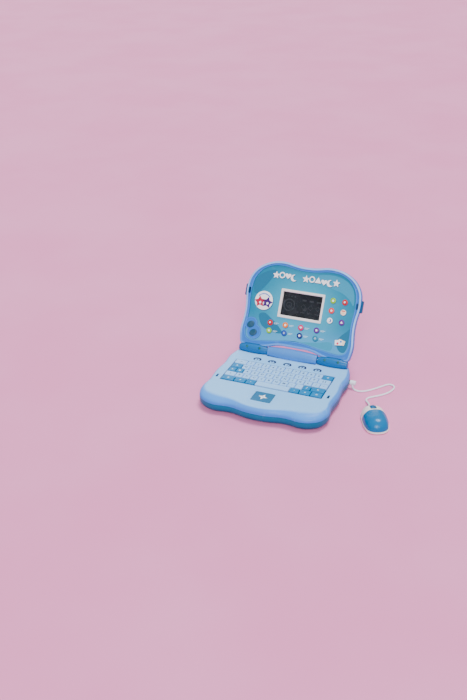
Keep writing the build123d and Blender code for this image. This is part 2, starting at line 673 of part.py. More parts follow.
def oval_button(x, s):
    """A domed oval push button with a flange behind the frame."""
    top = BAND_N + 0.9
    button = oval(x, s, 0, FLOOR_LOW_N - 1.4, top)
    button = fillet(button.edges().group_by(Axis.Z)[-1], 1.3)
    return button + oval(x, s, 1.4, FLOOR_LOW_N - 1.7, FLOOR_LOW_N - 0.3)


def latch():
    """The +X latch: a button in the lid's side, a plate behind the frame and a hook out of its face."""
    low, high = -5.9, -0.5
    button = block((106.9, 114.6), LATCH_S, (low, high), 2.4)
    outer = button.edges().filter_by_position(Axis.X, 112, 116)
    button = fillet(outer.group_by(Axis.Z)[-1] + outer.group_by(Axis.Z)[0], 1.2)
    plate = block((99, 108), (SLOT_Y - 4.6, SLOT_Y + 4.6), (low, LID_SEAM_N - 0.5))
    inner, outer, tip = SLOT_X - 0.4, SLOT_X + 0.8, SLOT_X + 1.5
    top = RIM_N + 3.6
    outline = Polyline((inner, low + 1), (outer, low + 1), (outer, top - 2.2), (tip, top - 1.8), (outer, top),
                       (inner, top), close=True)
    hook = extrude(Plane.XZ.offset(-SLOT_Y + 4.4) * make_face(outline), -8.8)
    return button + plate + hook


def latch_spring():
    """The +X latch's spring, as a ribbed sleeve between a wall of the lid and the latch's plate."""
    start, end, coils = 91.5, 98.9, 5
    pitch = (end - start) / coils
    points = [(start, 1.0)]
    for coil in range(coils):
        points += [(start + coil * pitch, 1.4), (start + (coil + 0.5) * pitch, 1.8)]
    points += [(end, 1.4), (end, 1.0)]
    sleeve = revolve(make_face(Polyline(*points, close=True)), Axis.X)
    return Location((0, SLOT_Y, -4.7)) * sleeve


def lid_screws():
    """The screws in the lid's back."""
    screw = cross_head_screw(2.7, 1.2, 1.2, 7.0)
    return joined([Location((x, s, LID_BACK_N + 1.3)) * screw for x, s in screw_places(LID_SCREWS)])


def hinge_tab(grow):
    """The flat tab of the +X barrel that is screwed into the lid, grown all round."""
    return block((56 - grow, 98 + grow), (1, 15 + grow), (-5.6 - grow, LID_SEAM_N - 0.3 + grow))


def hinge_barrels():
    """The two lid barrels, each with a bore for its pin, two screw wells and a tab into the lid."""
    body = barrel(BARREL_INNER_X, BARREL_OUTER_X, BARREL_RADII)
    body = fillet(body.edges().filter_by(GeomType.CIRCLE), 1.6)
    body += hinge_tab(0)
    body -= rod(PIN_BORE_RADIUS, (40, 0, 0), (70, 0, 0))
    for x in HINGE_SCREWS:
        body -= rod(2.6, (x, HINGE_SCREW_S, 5.4), (x, HINGE_SCREW_S, 14))
    return joined(both_sides(body))


def hinge_screws():
    """The screw heads in the hinge barrels' wells."""
    screw = Rot(180, 0, 0) * cross_head_screw(2.4, 1.0, 1.7, 0.2)
    places = screw_places([(x, HINGE_SCREW_S) for x in HINGE_SCREWS])
    return joined([Location((x, s, 7.4)) * screw for x, s in places])


def lid_wiring():
    """The flat cable inside the lid, from the left barrel up to the back of the lid board."""
    cable = block((-64, -56), (16, 65.8), (-8.0, -7.2))
    cable += block((-64, -56), (65, 65.8), (-8.9, -7.2))
    return cable + block((-64, -56), (65, 72), (-8.9, -8.3))


# ---- mouse, modelled about its own middle: X across, Y forward --------------------------
MOUSE_SEAM_Z = 4.2
MOUSE_SPLIT_Y = 5.0         # where the front buttons meet the shell, on the middle line
SPLIT_RADIUS = 60.0         # curve of that line
BUTTON_LOW_Z = 8.0
BUTTON_TRAVEL = 0.5
WHEEL_AT = (0.0, 18.0, 12.6)
WHEEL_RADIUS = 8.6
WHEEL_WIDTH = 9.0
WHEEL_RIBS = 24
AXLE_RADIUS = 1.3
DOME_MIDDLE_Y = -12.3       # the highest point of the mouse is over this point
DOME_TOP_SHARE = 0.1
MOUSE_HALF_WIDTH = 22.0
RELIEF_RADIUS = 2.5


def dome(skin, low_z):
    """The mouse's domed top from low_z up, smaller by skin."""
    share = 1 - (skin + 0.7) / MOUSE_HALF_WIDTH
    low = [(x * share, y * share) for x, y in mouse_outline]
    high = []
    for x, y in mouse_outline:
        high.append((x * DOME_TOP_SHARE, DOME_MIDDLE_Y + (y - DOME_MIDDLE_Y) * DOME_TOP_SHARE))
    return pillow(low, high, low_z, MOUSE_HEIGHT - skin, 4, 2.1)


def front_zone(grow):
    """Everything in front of the curved line where the mouse's buttons start."""
    centre_y = MOUSE_SPLIT_Y - SPLIT_RADIUS
    round_part = rod(SPLIT_RADIUS + grow, (0, centre_y, -6), (0, centre_y, 61))
    return block((-60, 60), (MOUSE_SPLIT_Y - 15, 90), (-5, 60)) - round_part


def wheel_room():
    """The slot between the buttons for the wheel."""
    reach = WHEEL_RADIUS + 1.4
    half = WHEEL_WIDTH / 2 + 1
    return block((-half, half), (WHEEL_AT[1] - reach, WHEEL_AT[1] + reach), (-5, 60), 2)


def mouse_top_shell():
    """The blue shell over the mouse's rear and middle."""
    shell = dome(0, MOUSE_SEAM_Z + 0.2) - dome(SKIN, MOUSE_SEAM_Z - 0.1)
    return shell - front_zone(-0.2) - wheel_room()


def mouse_button(side):
    """One front button of the mouse, on the side +1 or -1."""
    ring = dome(0, MOUSE_SEAM_Z + 0.2) - dome(SKIN, MOUSE_SEAM_Z - 0.1)
    zone = block((0.25, 60) if side > 0 else (-60, -0.25), (-15, 60), (BUTTON_LOW_Z, 60))
    return (ring & front_zone(0.2) & zone) - wheel_room()


def mouse_base():
    """The white tray of the mouse, with its front wall, the wheel's two posts and glide pads."""
    tray = slab(mouse_outline, 0.8, MOUSE_SEAM_Z)
    tray = fillet(tray.edges().group_by(Axis.Z)[0], 1.2)
    tray -= slab(mouse_outline, 0.8 + SKIN, MOUSE_SEAM_Z + 1, -SKIN - 0.4)
    wall = dome(0, MOUSE_SEAM_Z + 0.2) - dome(SKIN, MOUSE_SEAM_Z - 0.1)
    wall &= front_zone(0.2) & block((-60, 60), (-15, 60), (MOUSE_SEAM_Z, BUTTON_LOW_Z - BUTTON_TRAVEL - GAP))
    sill = slab(mouse_outline, MOUSE_SEAM_Z - 1, MOUSE_SEAM_Z + 0.6, -1.1)
    sill -= slab(mouse_outline, MOUSE_SEAM_Z - 2, MOUSE_SEAM_Z + 2, -SKIN - 0.9)
    tray += wall + (sill & front_zone(0.2))
    x, y, z = WHEEL_AT
    for side in (-1, 1):
        tray += block(*centred(side * (WHEEL_WIDTH / 2 + 1.9), y, 1.6, 4.6), (2, z + 1.9))
    tray -= rod(AXLE_RADIUS + 0.06, (-8, y, z), (8, y, z))
    for pad_y in (-28, 28):
        tray += block(*centred(0, pad_y, 20, 4), (0, 1.4), 1.9)
    return tray - rod(RELIEF_RADIUS + 0.02, (0, 30, RELIEF_Z), (0, 50, RELIEF_Z))


def mouse_wheel():
    """The scroll wheel with its ribbed tyre and axle."""
    x, y, z = WHEEL_AT
    rim = []
    for index in range(4 * WHEEL_RIBS):
        turn = math.pi * index / (2 * WHEEL_RIBS)
        radius = WHEEL_RADIUS - (0.5 if index % 4 > 1 else 0)
        rim.append((radius * math.cos(turn), radius * math.sin(turn)))
    half = WHEEL_WIDTH / 2
    side_plane = Plane(origin=(-half, y, z), x_dir=(0, 1, 0), z_dir=(1, 0, 0))
    wheel = extrude(side_plane * make_face(Polyline(*rim, close=True)), WHEEL_WIDTH)
    middle_plane = Plane(origin=(x, y, z), z_dir=(1, 0, 0))
    cheek = Solid.make_cone(WHEEL_RADIUS + 0.8, WHEEL_RADIUS - 1.4, half, middle_plane)
    wheel &= cheek + mirror(cheek, about=Plane.YZ)
    return wheel + rod(AXLE_RADIUS, (-7, y, z), (7, y, z))


def mouse_board():
    """The small board in the mouse, with a switch under each button."""
    board = block((-15, 15), (-26, 10), (5.2, 6.6), 1.5)
    for side in (-1, 1):
        board += block(*centred(side * 10.5, 5, 5, 6), (6.6, 12))
    return board


def strain_relief():
    """The tapered sleeve where the cord leaves the mouse, with a collar behind the tray's wall."""
    wall = Plane(origin=(0, MOUSE_REACH, RELIEF_Z), z_dir=(0, 1, 0))
    sleeve = Solid.make_cone(RELIEF_RADIUS, CORD_RADIUS + 0.3, RELIEF_LENGTH, wall)
    neck = rod(RELIEF_RADIUS, (0, MOUSE_REACH - 5, RELIEF_Z), (0, MOUSE_REACH, RELIEF_Z))
    return sleeve + neck


# ---- cord and plug ---------------------------------------------------------------------
def mouse_cord():
    """The cord as straight runs joined by tangent arcs."""
    radii = reaching_radii(CORD_ROUTE, False)
    path = FilletPolyline(*CORD_ROUTE, radius=radii)
    section = Plane(origin=path @ 0, z_dir=path % 0) * Circle(CORD_RADIUS)
    cord = sweep(section, path)
    area = math.pi * CORD_RADIUS ** 2
    print("cord radii", [round(radius, 1) for radius in radii])
    print("cord length", round(path.length, 1), "volume share", round(cord.volume / (area * path.length), 4))
    return cord


def mouse_plug():
    """The right-angled plug: a metal pin in the socket, a moulded head and a short sleeve down."""
    head = rod(4.3, (116.5, JACK_Y, JACK_Z), (127.5, JACK_Y, JACK_Z))
    head = fillet(head.edges(), 1.3)
    start, second = CORD_ROUTE[0], CORD_ROUTE[1]
    along = Vector(*start) - Vector(*second)
    sleeve = Solid.make_cone(CORD_RADIUS + 0.4, 2.6, 4.5, Plane(origin=start, z_dir=along))
    return head + sleeve + rod(1.7, (100, JACK_Y, JACK_Z), (118, JACK_Y, JACK_Z))


# ---- every node, in the frame of the whole toy -------------------------------------------
def base_nodes():
    """The base and what it holds."""
    return {
        "bottom_shell": bottom_shell(),
        "top_cover": top_cover(),
        "battery_door": battery_door(),
        "battery_door_screw": battery_door_screw(),
        "aa_cells": aa_cells(),
        "battery_contacts": battery_contacts(),
        "case_screws": base_screws(),
        "foot_strips": foot_strips(),
        "speaker": speaker(),
        "main_board": main_board(),
        "mouse_jack": mouse_jack(),
        "carry_handle": carry_handle(),
        "hinge_pins": hinge_pins(),
        "hinge_cable": hinge_cable(),
        "touchpad_button": touchpad_button(),
        "keyboard_board": keyboard_board(),
        "key_mat": key_mat(),
    }


def lid_nodes():
    """The lid lying flat in its own plane."""
    nodes = {
        "lid_front_frame": lid_front_frame(),
        "lid_back_shell": lid_back_shell(),
        "face_panel": face_panel(),
        "lcd_bezel": lcd_bezel(),
        "lcd_window": lcd_window(),
        "lcd_module": lcd_module(),
        "lid_board": lid_board(),
        "lid_screws": lid_screws(),
        "hinge_barrels": hinge_barrels(),
        "hinge_screws": hinge_screws(),
        "lid_wiring": lid_wiring(),
    }
    for node, x, s in OVALS:
        nodes[node] = oval_button(x, s)
    nodes["latch_right"], nodes["latch_left"] = both_sides(latch())
    nodes["latch_spring_right"], nodes["latch_spring_left"] = both_sides(latch_spring())
    return nodes


def mouse_nodes():
    """The mouse about its own middle."""
    return {
        "mouse_base": mouse_base(),
        "mouse_top_shell": mouse_top_shell(),
        "mouse_button_right": mouse_button(1),
        "mouse_button_left": mouse_button(-1),
        "mouse_wheel": mouse_wheel(),
        "mouse_board": mouse_board(),
        "mouse_strain_relief": strain_relief(),
    }


def all_nodes():
    """Every node in its place."""
    nodes = base_nodes()
    nodes.update(keys())
    nodes.update({name: LID_PLACE * shape for name, shape in lid_nodes().items()})
    nodes.update({name: MOUSE_PLACE * shape for name, shape in mouse_nodes().items()})
    nodes["mouse_cord"] = mouse_cord()
    nodes["mouse_plug"] = mouse_plug()
    return nodes


os.makedirs("parts", exist_ok=True)
for name, shape in all_nodes().items():
    export_step(shape, f"parts/{name}.step")
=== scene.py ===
import bpy
import json
import math
from mathutils import Matrix, Vector


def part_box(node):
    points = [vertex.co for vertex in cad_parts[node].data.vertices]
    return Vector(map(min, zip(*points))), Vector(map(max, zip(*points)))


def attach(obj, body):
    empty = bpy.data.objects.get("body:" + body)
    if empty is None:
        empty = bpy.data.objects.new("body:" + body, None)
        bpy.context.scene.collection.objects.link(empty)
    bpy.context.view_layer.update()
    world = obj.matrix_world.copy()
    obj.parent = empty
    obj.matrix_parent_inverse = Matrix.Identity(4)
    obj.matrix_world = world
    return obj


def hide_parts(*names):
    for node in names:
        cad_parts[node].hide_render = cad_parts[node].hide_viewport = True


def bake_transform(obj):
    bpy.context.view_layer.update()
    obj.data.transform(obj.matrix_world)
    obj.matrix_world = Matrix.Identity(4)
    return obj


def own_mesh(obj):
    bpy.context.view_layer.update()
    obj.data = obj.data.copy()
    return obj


# A toy laptop computer: lid with a small display and a printed face, keyboard, carry handle and mouse.
# Metres, in the frame of the CAD model. The sizes and places below are in millimetres, and MM turns
# them into metres. Pieces of the lid are laid out in the lid's own plane: x across, s up from the hinge.

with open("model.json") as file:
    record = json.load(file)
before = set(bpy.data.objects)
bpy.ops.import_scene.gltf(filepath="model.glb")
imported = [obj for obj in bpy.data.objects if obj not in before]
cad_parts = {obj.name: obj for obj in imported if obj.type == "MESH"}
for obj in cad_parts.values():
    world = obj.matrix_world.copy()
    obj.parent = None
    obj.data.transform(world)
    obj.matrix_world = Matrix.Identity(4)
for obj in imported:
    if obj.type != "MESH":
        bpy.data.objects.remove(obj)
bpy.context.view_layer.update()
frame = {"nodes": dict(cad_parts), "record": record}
NODES = frame["nodes"]
MM = 0.001

HINGE_Z = 34.65             # height of the hinge line
LID_TILT = math.radians(61.2)
LID = Matrix.Translation((0, 0, HINGE_Z * MM)) @ Matrix.Rotation(LID_TILT, 4, "X")
DISPLAY_S = 92              # height of the display's middle up the lid
PANEL_TOP = 1.2             # face of the printed panel, above the lid's plane
PRINT_LOW = PANEL_TOP - 0.05
PLATEAU_TOP = 30.0          # flat top of the base
KEY_TOP = 31.2
KEY_UNIT = 14.54            # width of one plain key and its gap
ROW_UNITS = 13
ROW_PITCH = 15.36
ROWS = 5
KEYBOARD_Y = -79.5
TOUCHPAD_Y = -149.3

CORD_RADIUS = 1.6
RELIEF_Z = 4.4              # height at which the cord enters the mouse
CORD_ROUTE = [
    (121.4, -18.2, 6.6), (121.9, -18.9, 3.9), (124.2, -21.6, 1.9), (129, -24.8, CORD_RADIUS),
    (136, -26.0, CORD_RADIUS), (143.5, -23.6, CORD_RADIUS), (152, -16.4, CORD_RADIUS),
    (161.4, -5.6, CORD_RADIUS), (170.4, 6.2, CORD_RADIUS), (177.6, 15.9, CORD_RADIUS),
    (183.4, 17.5, CORD_RADIUS), (188.9, 15.2, CORD_RADIUS), (191.9, 10.0, CORD_RADIUS),
    (191.3, 1.8, CORD_RADIUS), (188.6, -7.0, CORD_RADIUS), (184.0, -15.4, CORD_RADIUS),
    (178.0, -22.9, CORD_RADIUS), (170.8, -29.8, CORD_RADIUS), (163.2, -36.2, CORD_RADIUS),
    (157.4, -41.8, CORD_RADIUS), (155.6, -48.8, CORD_RADIUS), (158.4, -55.4, 2.4),
    (163.731, -61.906, RELIEF_Z), (167.55, -69.5, RELIEF_Z),
]


# ---- camera ----------------------------------------------------------------------------
CAMERA_LENS = 46.321
CAMERA_PLACE = (0.49725, -1.37875, 0.84472)
CAMERA_ANGLES = (61.452, 1.3638, 23.3734)


def make_camera():
    """A camera that looks down on the object from its front right."""
    data = bpy.data.cameras.new("camera")
    data.lens = CAMERA_LENS
    data.sensor_width = 36
    camera = bpy.data.objects.new("camera", data)
    camera.location = CAMERA_PLACE
    camera.rotation_euler = [math.radians(angle) for angle in CAMERA_ANGLES]
    bpy.context.scene.collection.objects.link(camera)
    bpy.context.scene.camera = camera


# ---- materials -------------------------------------------------------------------------
def colour(code):
    """An sRGB colour written as six hex digits, as linear red, green and blue with alpha 1."""
    parts = [int(code[i:i + 2], 16) / 255 for i in (0, 2, 4)]
    linear = [c / 12.92 if c <= 0.04045 else ((c + 0.055) / 1.055) ** 2.4 for c in parts]
    return (*linear, 1.0)


def mixed(a, b, share):
    """The colour that lies that share of the way from a to b."""
    return tuple(x + (y - x) * share for x, y in zip(a, b))


class Shader:
    """A principled material with helpers that add nodes."""

    def __init__(self, name):
        self.material = bpy.data.materials.new(name)
        self.material.use_nodes = True
        self.tree = self.material.node_tree
        self.tree.nodes.clear()
        self.output = self.node("ShaderNodeOutputMaterial")
        self.bsdf = self.node("ShaderNodeBsdfPrincipled")
        self.link(self.bsdf.outputs["BSDF"], self.output.inputs["Surface"])
        self.coords = self.node("ShaderNodeTexCoord").outputs["Object"]

    def node(self, kind, **settings):
        made = self.tree.nodes.new(kind)
        for key, value in settings.items():
            setattr(made, key, value)
        return made

    def link(self, a, b):
        self.tree.links.new(a, b)

    def noise(self, scale, detail=3.0, roughness=0.55):
        made = self.node("ShaderNodeTexNoise")
        made.inputs["Scale"].default_value = scale
        made.inputs["Detail"].default_value = detail
        made.inputs["Roughness"].default_value = roughness
        self.link(self.coords, made.inputs["Vector"])
        return made.outputs["Fac"]

    def along(self, direction, offset=0.0):
        """The position measured along a direction, in millimetres."""
        dot = self.node("ShaderNodeVectorMath", operation="DOT_PRODUCT")
        self.link(self.coords, dot.inputs[0])
        dot.inputs[1].default_value = [1000 * c for c in direction]
        return self.math("ADD", dot.outputs["Value"], offset)

    def math(self, operation, a, b=0.0):
        made = self.node("ShaderNodeMath", operation=operation)
        for socket, value in zip(made.inputs, (a, b)):
            if isinstance(value, (int, float)):
                socket.default_value = value
            else:
                self.link(value, socket)
        return made.outputs[0]

    def range(self, value, low, high, to_low=0.0, to_high=1.0):
        """The value eased from the range low to high onto the range to_low to to_high."""
        made = self.node("ShaderNodeMapRange", interpolation_type="SMOOTHSTEP")
        self.link(value, made.inputs["Value"])
        for key, number in zip(("From Min", "From Max", "To Min", "To Max"), (low, high, to_low, to_high)):
            made.inputs[key].default_value = number
        return made.outputs["Result"]

    def mix(self, share, a, b):
        made = self.node("ShaderNodeMix", data_type="RGBA")
        for socket, value in ((made.inputs[0], share), (made.inputs[6], a), (made.inputs[7], b)):
            if isinstance(value, (int, float, tuple, list)):
                socket.default_value = value
            else:
                self.link(value, socket)
        return made.outputs[2]

    def bump(self, height, strength, distance, normal=None):
        made = self.node("ShaderNodeBump")
        made.inputs["Strength"].default_value = strength
        made.inputs["Distance"].default_value = distance
        self.link(height, made.inputs["Height"])
        if normal:
            self.link(normal, made.inputs["Normal"])
        return made.outputs["Normal"]

    def set(self, **values):
        """Sets or links the shader's inputs, named with _ for a space."""
        for key, value in values.items():
            socket = self.bsdf.inputs[key.replace("_", " ")]
            if isinstance(value, (int, float, tuple)):
                socket.default_value = value
            else:
                self.link(value, socket)


def plastic(name, base, rough=0.38, grain=1600, relief=0.25, drift=0.06, coat=0.05, wear=0.1, blend=None):
    """Moulded plastic: slow colour drift, fine spark-eroded grain, faint scuffs and uneven gloss.
    blend, if given, takes the shader and returns the colour socket that stands in for base."""
    s = Shader(name)
    slow, fine = s.noise(14), s.noise(grain, 2.0, 0.5)
    scuff = s.noise(90, 6.0, 0.7)
    flat = blend(s) if blend else base
    darker = s.mix(s.range(slow, 0.3, 0.7, 0.0, drift), flat, (0.0, 0.02, 0.06, 1))
    s.set(Base_Color=s.mix(s.range(scuff, 0.55, 0.8, 0.0, wear), darker, (0.7, 0.85, 1.0, 1)))
    broad_shine = s.range(scuff, 0.2, 0.8, rough - 0.05, rough + 0.07)
    shine = s.math("ADD", broad_shine, s.range(fine, 0.3, 0.7, -0.02, 0.02))
    s.set(Roughness=shine, Specular_IOR_Level=0.2, Coat_Weight=coat, Coat_Roughness=0.18)
    s.set(Normal=s.bump(scuff, 0.05, 0.0002, s.bump(fine, relief, 0.00006)))
    return s.material


def metal(name, base, rough=0.3):
    """Metal with fine drawn lines and a few dull spots."""
    s = Shader(name)
    stretch = s.node("ShaderNodeMapping")
    stretch.inputs["Scale"].default_value = (400, 400, 2600)
    s.link(s.coords, stretch.inputs["Vector"])
    lines = s.node("ShaderNodeTexNoise")
    lines.inputs["Scale"].default_value = 1.0
    lines.inputs["Detail"].default_value = 4
    s.link(stretch.outputs["Vector"], lines.inputs["Vector"])
    spots = s.noise(220, 4)
    s.set(Base_Color=s.mix(s.range(spots, 0.45, 0.75, 0.0, 0.4), base, mixed(base, (0.1, 0.1, 0.1, 1), 0.5)))
    s.set(Metallic=1.0, Roughness=s.range(lines.outputs["Fac"], 0.3, 0.7, rough - 0.08, rough + 0.12))
    s.set(Normal=s.bump(lines.outputs["Fac"], 0.2, 0.00005))
    return s.material


def rubber(name, base, rough=0.62, grain=1100):
    """Soft rubber or vinyl: dull, finely pitted, with a dusty bloom."""
    s = Shader(name)
    fine, dust = s.noise(grain, 3), s.noise(60, 5)
    s.set(Base_Color=s.mix(s.range(dust, 0.4, 0.75, 0.0, 0.18), base, mixed(base, (0.5, 0.55, 0.6, 1), 0.6)))
    s.set(Roughness=s.range(fine, 0.3, 0.7, rough - 0.08, rough + 0.08), Specular_IOR_Level=0.35)
    s.set(Sheen_Weight=0.15, Sheen_Roughness=0.4)
    s.set(Normal=s.bump(fine, 0.35, 0.00008))
    return s.material


def printed(name, base, rough=0.32):
    """Glossy ink on film: slight mottling, faint screen dots and an even clear coat."""
    s = Shader(name)
    mottle = s.noise(500, 4)
    dots = s.node("ShaderNodeTexVoronoi")
    dots.inputs["Scale"].default_value = 2400
    s.link(s.coords, dots.inputs["Vector"])
    screen = s.range(dots.outputs["Distance"], 0.2, 0.6, 0.0, 0.02)
    shade = s.mix(s.range(mottle, 0.3, 0.7, 0.0, 0.08), base, mixed(base, (0, 0, 0, 1), 0.6))
    s.set(Base_Color=s.mix(screen, shade, (0.9, 0.95, 1, 1)))
    s.set(Roughness=s.range(mottle, 0.3, 0.7, rough - 0.04, rough + 0.06), Specular_IOR_Level=0.2)
    s.set(Coat_Weight=0.03, Coat_Roughness=0.1)
    s.set(Normal=s.bump(mottle, 0.06, 0.00005))
    return s.material


# Directions out of the lid's face (n) and up the lid (s), with the offsets that put the hinge at 0.
N_DIRECTION = (0, -math.sin(LID_TILT), math.cos(LID_TILT))
S_DIRECTION = (0, math.cos(LID_TILT), math.sin(LID_TILT))
N_OFFSET = -HINGE_Z * math.cos(LID_TILT)
S_OFFSET = -HINGE_Z * math.sin(LID_TILT)


def cover_colours_with_painted_shade(s):
    """The base's cover: a light flat top, and a deeper blue down its sloping side, which is painted shade.
    """
    z = s.along((0, 0, 1))
    # Painted shade: the sloping side is a deeper blue than the flat top, and darker still lower down.
    side = s.mix(s.range(z, 20.0, 26.0), colour("3C86DE"), colour("4C98EE"))
    return s.mix(s.range(z, 28.2, 30.2), side, colour("8AC8FF"))


def frame_colours_with_painted_light(s):
    """The lid's frame: a light rim and a lighter bead round the printed panel, both painted highlight, and a
    deeper band, painted shade.
    """
    n = s.along(N_DIRECTION, N_OFFSET)
    # Painted shade: the deeper band, darker still towards the back of the lid.
    band = s.mix(s.range(n, -3.0, 1.0), colour("2468C0"), colour("2C76CC"))
    # Painted highlight: the top of the bead is lighter than the band.
    bead = s.mix(s.range(n, 2.25, 2.5), band, colour("3C88DC"))
    up = s.along(S_DIRECTION, S_OFFSET)
    # Painted highlight: the light rim, fainter towards the hinge.
    painted_rim_highlight = s.math("MULTIPLY", s.range(n, 2.9, 4.0), s.range(up, 12.0, 45.0, 0.25, 1.0))
    return s.mix(painted_rim_highlight, bead, colour("9CC8FF"))


def panel_colours(s):
    """The printed panel: teal, paler round the display and at the foot, with slow mottling."""
    up = s.along(S_DIRECTION, S_OFFSET)
    across = s.along((1, 0, 0))
    from_display = s.math("SUBTRACT", up, DISPLAY_S)
    spread = s.math("ADD", s.math("POWER", s.math("MULTIPLY", across, 0.011), 2.0),
                    s.math("POWER", s.math("MULTIPLY", from_display, 0.013), 2.0))
    distance = s.range(s.math("SQRT", spread), 0.2, 1.25)
    base = s.mix(distance, colour("38A8C4"), colour("007C9E"))
    above_foot = s.range(up, 20, 75)
    base = s.mix(above_foot, s.mix(0.65, base, colour("58B0E6")), base)
    return s.mix(s.range(s.noise(9, 2), 0.35, 0.65, 0.0, 0.12), base, colour("64C0DC"))


def shell_colours_with_painted_shade(s):
    """The lower half of the case: brighter near the joint line, and darker towards the floor as painted
    shade.
    """
    z = s.along((0, 0, 1))
    # Painted shade: the shell darkens lower down, where it turns under.
    return s.mix(s.range(z, 4.0, 17.0), colour("005478"), colour("006E94"))


def lcd_material():
    """Dark display glass with a fine grid of dots."""
    s = Shader("lcd_dark")
    dots_per_mm = 2.4
    up, across = s.along(S_DIRECTION, S_OFFSET), s.along((1, 0, 0))
    cells = [s.math("PINGPONG", s.math("MULTIPLY", value, dots_per_mm), 0.5) for value in (up, across)]
    gap = s.math("MINIMUM", cells[0], cells[1])
    grid = s.range(gap, 0.04, 0.12, 0.6, 1.0)
    smudge = s.noise(40, 4)
    tone = s.mix(s.range(smudge, 0.3, 0.7), colour("1A1E23"), colour("23282E"))
    s.set(Base_Color=s.mix(grid, colour("14181C"), tone))
    s.set(Roughness=s.range(smudge, 0.3, 0.7, 0.16, 0.3), Specular_IOR_Level=0.3)
    s.set(Coat_Weight=0.1, Coat_Roughness=0.08)
    return s.material


def window_material():
    """A thin clear window with a trace of haze."""
    s = Shader("clear_window")
    haze = s.noise(70, 4)
    s.set(Base_Color=(0.93, 0.97, 1.0, 1.0), Transmission_Weight=1.0, IOR=1.12)
    s.set(Roughness=s.range(haze, 0.3, 0.75, 0.0, 0.06))
    clear = s.node("ShaderNodeBsdfTransparent")
    both = s.node("ShaderNodeMixShader")
    both.inputs["Fac"].default_value = 0.12
    s.link(clear.outputs["BSDF"], both.inputs[1])
    s.link(s.bsdf.outputs["BSDF"], both.inputs[2])
    s.link(both.outputs["Shader"], s.output.inputs["Surface"])
    return s.material


def board_material():
    """Green lacquered board with copper tracks under the lacquer."""
    s = Shader("circuit_board")
    tracks = s.node("ShaderNodeTexBrick")
    tracks.inputs["Scale"].default_value = 160
    tracks.inputs["Mortar Size"].default_value = 0.12
    s.link(s.coords, tracks.inputs["Vector"])
    s.set(Base_Color=s.mix(tracks.outputs["Fac"], colour("1A5A33"), colour("2F8048")))
    s.set(Roughness=s.range(s.noise(300), 0.3, 0.7, 0.22, 0.4))
    s.set(Normal=s.bump(tracks.outputs["Fac"], 0.3, 0.00004))
    return s.material


def cell_material():
    """The sleeve of an AA cell: dark over its middle, gold towards both ends."""
    s = Shader("cell_label")
    x = s.math("ABSOLUTE", s.along((1, 0, 0)))
    band = s.range(x, 12.0, 12.6)
    s.set(Base_Color=s.mix(band, colour("2A2C30"), colour("B98A35")), Metallic=0.35)
    s.set(Roughness=s.range(s.noise(200, 4), 0.3, 0.7, 0.25, 0.42))
    return s.material


def make_materials():
    """Every material by name: the CAD's slots, a few extra plastics, and the inks of the prints."""
    m = {
        # The cover's colour holds painted shade down its sloping side.
        "base_light_blue": plastic("base_light_blue", None, 0.44, 1500, 0.35, 0.05, 0.08, 0.2,
                                   cover_colours_with_painted_shade),
        # The lower shell's colour holds painted shade towards the floor.
        "lower_teal_blue": plastic("lower_teal_blue", None, 0.36, 1300, 0.25, 0.06, 0.05, 0.05,
                                   shell_colours_with_painted_shade),
        # The frame's colour holds painted highlight on its rim and bead, and painted shade in its band.
        "periwinkle": plastic("periwinkle", None, 0.38, 1500, 0.25, 0.05, 0.12, 0.2, frame_colours_with_painted_light),
        "lid_back": plastic("lid_back", colour("4486DC"), 0.40, 1300, 0.35),
        # Painted shade: the barrels are moulded in the handle's blue, and their deeper blue here stands in
        # for shade.
        "barrel_blue": plastic("barrel_blue", colour("0E66A6"), 0.34, 1500, 0.2, 0.08, 0.05, 0.05),
        "handle_blue": plastic("handle_blue", colour("4686D4"), 0.36, 1500, 0.2, 0.08),
        "latch_blue": plastic("latch_blue", colour("044E7C"), 0.4, 1500, 0.2),
        "light_key": plastic("light_key", colour("98CCFF"), 0.48, 1900, 0.3, 0.05, 0.05, 0.35),
        "blue_key": plastic("blue_key", colour("007CB8"), 0.44, 1900, 0.3, 0.06, 0.05, 0.1),
        "touchpad_teal": plastic("touchpad_teal", colour("186A98"), 0.4, 1900, 0.25, 0.08),
        "printed_panel": plastic("printed_panel", None, 0.3, 2200, 0.08, 0.03, 0.12, 0.05,
                                 panel_colours),
        "white_plastic": plastic("white_plastic", colour("F2ECE8"), 0.3, 1700, 0.15, 0.03, 0.2, 0.05),
        "oval_teal": rubber("oval_teal", colour("104C66"), 0.42),
        "wheel_blue": plastic("wheel_blue", colour("005E92"), 0.34, 1500, 0.2, 0.08),
        "mouse_blue": plastic("mouse_blue", colour("0070A8"), 0.24, 1500, 0.15, 0.08, 0.1, 0.03),
        "rubber_dark": rubber("rubber_dark", colour("2B2D31")),
        "mat_grey": rubber("mat_grey", colour("22346A")),
        "cord_grey": rubber("cord_grey", colour("E6EDF8"), 0.45, 900),
        "speaker_black": rubber("speaker_black", colour("1E1F22"), 0.55),
        "screw_green": plastic("screw_green", colour("2F6E6A"), 0.5, 1500, 0.3, 0.1, 0.0, 0.1),
        "steel": metal("steel", colour("C9CBD0")),
        "lcd_dark": lcd_material(),
        "clear_window": window_material(),
        "circuit_board": board_material(),
        "cell_label": cell_material(),
    }
    inks = {
        "white": "FFFFFF", "red": "C00812", "orange": "F07800", "magenta": "D00062", "purple": "5A0E86",
        "lime": "84C000", "royal": "0A40A4", "navy": "101870", "teal": "007C9E", "coral": "E43434",
        "cream": "FBEBD2", "violet": "3C0C6E", "pink": "E81458", "shadow": "005C80", "swirl": "006E92",
        "swirl_pale": "2496B8", "print_purple": "28265A", "legend": "2C3E78", "legend_pale": "D9F0FA",
        "lcd_ghost": "282E34", "crimson": "B4003C", "sky": "2676CC",
    }
    for name, code in inks.items():
        m[name] = printed("ink_" + name, colour(code))
    return m


MATERIALS = make_materials()


